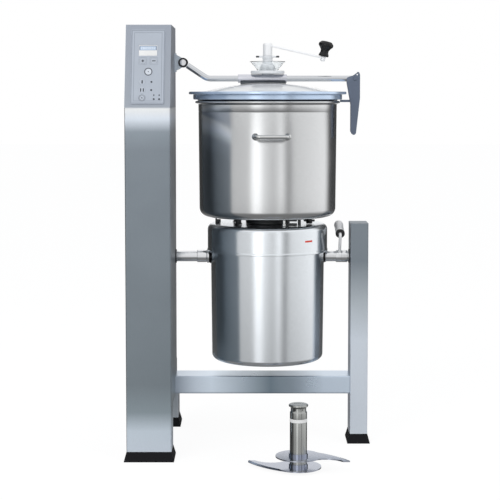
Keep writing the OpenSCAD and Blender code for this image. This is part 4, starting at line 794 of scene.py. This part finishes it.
turned(bm, rounded([
    (LEVER_R + 0.1, 12), (15, 12, 1), (15.4, 20, 2), (14.6, 30, 6), (14.6, 78, 6), (15.6, 96, 5),
    (14.6, 106, 4), (9, 110, 3), (0, 110), (0, 107.3), (LEVER_R + 0.1, 107.3)]), 56, grip_at)
link("tilt_grip_moulded", bm, grip_light, "tilt_handle", ["lever_grip"])
bm = bmesh.new()
turned(bm, rounded([
    (LEVER_R + 0.1, 8), (14.4, 8, 1), (15.6, 9.5, 1), (15.6, 12.6, 0.6), (LEVER_R + 0.1, 12.6)]), 56, grip_at)
link("tilt_grip_end_ring", bm, black_matt, "tilt_handle")

# Cutter
cut_at = Matrix.Translation((*CUTTER, 0))
bm = bmesh.new()
turned(bm, rounded([
    (24, 0.3), (29.6, 0, 0.6), (30, 8.4, 0.6), (27, 8.5), (27, 100), (27, 153.6, 0.4), (25.5, 154),
    (25.5, 165), (27, 165.4, 0.4), (27, 185, 1), (24.5, 188, 1), (24.5, 199, 1.5), (27.5, 201.8, 1),
    (30.5, 203.5, 1.2), (30.5, 208, 1.5), (28, 210, 1.5), (14, 210, 0.5), (12, 209.2, 0.5), (0, 209.2),
    (0, 180), (24, 180)]), 96, cut_at)
link("cutter_hub_turned", bm, cutter_steel, "cutter", ["cutter_hub"])
# Two thin black discs on the hub's side stand in for its holes: painted shade inside them.
bm = bmesh.new()
for angle, radius in ((238, 4.5), (300, 2)):
    a = math.radians(angle)
    start = (CUTTER[0] + 24.2 * math.cos(a), CUTTER[1] + 24.2 * math.sin(a), 195)
    rod(bm, start, (math.cos(a), math.sin(a), 0), 0.35, radius, 0.02)
link("cutter_hub_hole_shade", bm, black_matt, "cutter")

# Control panel, with its marks. A mark starts at one of these heights, just under the face it lies on.
PRINT_Z = 2.9
KEY_Z = 3.7


def on_panel(bm, u, v, wide, tall, low, high, bevel=0.0):
    """Adds a flat mark, with its centre at u to the right and v up the control face."""
    block(bm, (u - wide / 2, v - tall / 2, low), (u + wide / 2, v + tall / 2, high), bevel, FACE)


def panel_ring(bm, u, v, inner, outer, low, high):
    """Adds a round mark on the control face, a disc if inner is nearly nothing."""
    turned(bm, [(inner, low), (outer, low), (outer, high), (inner, high)], 64,
           FACE @ Matrix.Translation((u, v, 0)))


PANEL_V = 15
DISPLAY_V = PANEL_V + 178
KEYS = [("plus", -16, 143), ("minus", 19, 143), ("stop", 2, 107),
        ("speed_one", -17, 73), ("speed_two", -17, 46), ("pulse", -17, 20)]
bm = bmesh.new()
for u in (-44, 44):
    on_panel(bm, u, PANEL_V + 124, 1.2, 228, PRINT_Z, 3.12)
for v in (10, 238):
    on_panel(bm, 0, PANEL_V + v, 89.2, 1.2, PRINT_Z, 3.12)
for u in (-51.6, 51.6):
    on_panel(bm, u, PANEL_V + 124, 2, 242, PRINT_Z, 3.1)
for v in (3, 245):
    on_panel(bm, 0, PANEL_V + v, 104.8, 2, PRINT_Z, 3.1)
link("panel_frame_lines", bm, frame_ink, "stand")
bm = bmesh.new()
panel_ring(bm, 2, PANEL_V + 107, 10.6, 12.8, PRINT_Z, 3.15)
for u, v in ((12.5, 73), (12.2, 46), (20.6, 16), (37.6, 16)):
    panel_ring(bm, u, PANEL_V + v, 0.01, 3.1, PRINT_Z, 3.15)
for u, v in ((20.6, 29), (37.6, 29)):
    on_panel(bm, u, PANEL_V + v, 3.4, 5, PRINT_Z, 3.12)
link("panel_dark_marks", bm, ink, "stand")
bm = bmesh.new()
panel_ring(bm, -17, PANEL_V + 20, 10.6, 11.6, PRINT_Z, 3.12)
for u in (-16, 19):
    for dv in (-11.4, 11.4):
        on_panel(bm, u, PANEL_V + 143 + dv, 24, 0.6, PRINT_Z, 3.08)
    for du in (-12.2, 12.2):
        on_panel(bm, u + du, PANEL_V + 143, 0.6, 23.4, PRINT_Z, 3.08)
link("panel_fine_marks", bm, frame_ink, "stand")

bm = bmesh.new()
on_panel(bm, 0, DISPLAY_V, 58, 35, 0, 2.6, 0.4)
block(bm, (-23.5, DISPLAY_V - 12, -14), (23.5, DISPLAY_V + 12, 0.1), 0.5, FACE)
link("display_window", bm, white_plastic, "stand", ["display"])
bm = bmesh.new()
on_panel(bm, 0, DISPLAY_V + 8, 55, 14.6, 2.55, 2.7)
link("display_frame_bars", bm, lcd_frame, "stand")
bm = bmesh.new()
on_panel(bm, 0, DISPLAY_V + 7.6, 50, 12.6, 2.6, 2.8)
link("display_upper_field", bm, lcd_field, "stand")
bm = bmesh.new()
for k in range(9):
    u = -20 + 5 * k
    on_panel(bm, u, DISPLAY_V + 7.4, 3.4, 1, 2.7, 2.9)
    on_panel(bm, u, DISPLAY_V + 10.6, 3.4, 1, 2.7, 2.9)
    on_panel(bm, u - 1.3, DISPLAY_V + 7.4, 0.9, 7, 2.7, 2.9)
    if k % 3:
        on_panel(bm, u + 1.3, DISPLAY_V + 7.4, 0.9, 7, 2.7, 2.9)
link("display_digits", bm, lcd_digits, "stand")

KEY_LOOKS = {"stop": (key_light, "key_red"), "pulse": (key_skin, "key_pulse")}
for name, u, v in KEYS:
    bm = bmesh.new()
    m = FACE @ Matrix.Translation((u, PANEL_V + v, 0))
    turned(bm, [(0, 1.3), (10, 1.3), (10, 3.2), (9.8, 3.5), (9.3, 3.68), (8, 3.76), (0, 3.78)],
           56, m, closed=False)
    skin, slot = KEY_LOOKS.get(name, (key_skin, "key_white"))
    link(name + "_key_cap", bm, skin, name + "_key_body", [name + "_key"])
    bm = bmesh.new()
    v += PANEL_V
    if name == "plus":
        on_panel(bm, u, v, 8.4, 2.8, KEY_Z, 3.85)
        on_panel(bm, u, v, 2.8, 8.4, KEY_Z, 3.86)
    elif name == "minus":
        on_panel(bm, u, v, 11, 3, KEY_Z, 3.85)
    elif name == "stop":
        panel_ring(bm, u, v, 0.01, 1.5, KEY_Z, 3.85)
    elif name == "speed_one":
        on_panel(bm, u, v, 4.2, 11, KEY_Z, 3.85)
    elif name == "speed_two":
        on_panel(bm, u - 4.2, v, 3.4, 11.4, KEY_Z, 3.85)
        on_panel(bm, u + 4.2, v, 3.4, 11.4, KEY_Z, 3.85)
    else:
        panel_ring(bm, u, v, 0.01, 1.9, KEY_Z, 3.85)
        panel_ring(bm, u, v, 7.6, 8.4, KEY_Z, 3.82)
    link(name + "_key_mark", bm, ink, name + "_key_body")

# CAD nodes whose own shape shows
LOOKS = {
    column_steel: ("column_shell", "column_leg"),
    back_steel: ("back_cover", "side_frame"),
    beam_steel: ("crossbar",),
    bracket_steel: ("arm_bracket",),
    post_steel: ("right_post",),
    handle_steel: ("cover_screws",),
    rubber: ("front_foot", "back_foot", "right_foot", "cable_gland"),
    iron: ("rotor",),
    panel_skin: ("control_panel",),
    drive_metal: ("motor_drive", "motor_bearings"),
    copper: ("stator",),
    black_matt: ("cooling_fan",),
    chrome: ("drive_spindle",),
    white_plastic: ("wiper_blade", "hub_ring"),
    clamp_metal: ("clamp_hook",),
    blade_steel: ("lower_blade", "upper_blade"),
}
for mat, names in LOOKS.items():
    for name in names:
        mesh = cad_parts[name].data
        mesh.materials.clear()
        mesh.materials.append(mat)


# Floor, light and camera

def floor_material():
    """Pale floor that reads white in the open and keeps the shadow."""
    mat, tree, bsdf = new_material("studio_floor")
    tree.nodes.remove(bsdf)
    out = tree.nodes["Material Output"]
    diffuse = node(tree, "ShaderNodeBsdfDiffuse")
    diffuse.inputs["Color"].default_value = (0.9, 0.9, 0.9, 1)
    glow = node(tree, "ShaderNodeEmission")
    glow.inputs["Strength"].default_value = 1.05
    path = node(tree, "ShaderNodeLightPath").outputs
    seen = math_of(tree, "MAXIMUM", path["Is Camera Ray"], path["Is Transmission Ray"])
    seen = math_of(tree, "MAXIMUM", seen, path["Is Glossy Ray"])
    glow_share = math_of(tree, "MULTIPLY", seen, 0.88)
    mix = node(tree, "ShaderNodeMixShader")
    tree.links.new(glow_share, mix.inputs["Fac"])
    tree.links.new(diffuse.outputs["BSDF"], mix.inputs[1])
    tree.links.new(glow.outputs["Emission"], mix.inputs[2])
    tree.links.new(mix.outputs["Shader"], out.inputs["Surface"])
    return mat


bm = bmesh.new()
bmesh.ops.create_grid(bm, x_segments=2, y_segments=2, size=30)
mesh = bpy.data.meshes.new("studio_floor")
bm.to_mesh(mesh)
bm.free()
floor = bpy.data.objects.new("studio_floor", mesh)
floor.location.z = -0.0006
bpy.context.scene.collection.objects.link(floor)
mesh.materials.append(floor_material())
floor.visible_glossy = False

# Brightness of the studio round the horizon: (degrees from the front, level), and the brightest level
BANDS = [
    (-166, 0.06), (-132, 0.03), (-118, 0.02), (-106, 0.035), (-95, 0.06), (-86, 0.09), (-77, 0.14),
    (-68, 0.37), (-61, 0.70), (-31, 0.72), (-24, 1.6), (-14, 1.6), (-7, 0.95), (2, 0.80), (9, 0.66),
    (16, 0.85), (23, 1.2), (29, 0.6), (36, 0.29), (43, 0.77), (51, 0.82), (112, 1.07), (126, 0.07),
    (166, 0.06), (174, 1.0)]
PEAK = 1.6


def studio_world():
    """Studio seen in the metal as upright bands round the horizon, white behind the object."""
    world = bpy.data.worlds.new("studio")
    bpy.context.scene.world = world
    world.use_nodes = True
    tree = world.node_tree
    tree.nodes.clear()
    direction = split_of(tree, "Generated")
    ahead = math_of(tree, "MULTIPLY", direction["Y"], -1.0)
    angle = math_of(tree, "ARCTAN2", direction["X"], ahead)
    turn = range_of(tree, angle, -math.pi, math.pi)
    stops = [(-180, 1.0), (-174, 1.0)] + BANDS + [(180, 1.0)]
    bands = ramp_of(tree, turn, [((a + 180) / 360, (v / PEAK,) * 3) for a, v in stops])
    layers = mix_of(tree, 1.0, bands, (PEAK, PEAK, PEAK, 1), "MULTIPLY")
    for low, high, level in ((0.35, 0.75, 0.95), (-0.12, -0.5, 0.22)):
        rise = range_of(tree, direction["Z"], low, high)
        layers = mix_of(tree, rise, layers, (level, level, level, 1))
    path = node(tree, "ShaderNodeLightPath").outputs
    lit = mix_of(tree, path["Is Glossy Ray"], (0.62, 0.63, 0.65, 1), layers)
    seen = math_of(tree, "MAXIMUM", path["Is Camera Ray"], path["Is Transmission Ray"])
    back = node(tree, "ShaderNodeBackground")
    tree.links.new(mix_of(tree, seen, lit, (1, 1, 1, 1)), back.inputs["Color"])
    out = node(tree, "ShaderNodeOutputWorld")
    tree.links.new(back.outputs["Background"], out.inputs["Surface"])


studio_world()


def soft_lamp(name, place, target, size, power):
    data = bpy.data.lights.new(name, "AREA")
    data.shape = "DISK"
    data.size = size
    data.energy = power
    lamp = bpy.data.objects.new(name, data)
    lamp.location = place
    aim = Vector(target) - Vector(place)
    lamp.rotation_euler = aim.to_track_quat("-Z", "Y").to_euler()
    lamp.visible_glossy = False
    bpy.context.scene.collection.objects.link(lamp)


soft_lamp("key_lamp", (-2.2, -3.2, 3.6), (0, 0, 0.7), 2.4, 70)
soft_lamp("fill_lamp", (2.8, -2.4, 2.4), (0, 0, 0.7), 2.4, 30)

CAMERA_PITCH = math.radians(4.3)
data = bpy.data.cameras.new("front_camera")
data.sensor_width = 36
data.lens = 100.4
data.shift_y = -0.0968
camera = bpy.data.objects.new("front_camera", data)
camera.location = (0, -4.619, 1.170)
camera.rotation_euler = (math.pi / 2 - CAMERA_PITCH, 0, 0)
bpy.context.scene.collection.objects.link(camera)
bpy.context.scene.camera = camera

bpy.context.scene.view_settings.view_transform = "Standard"
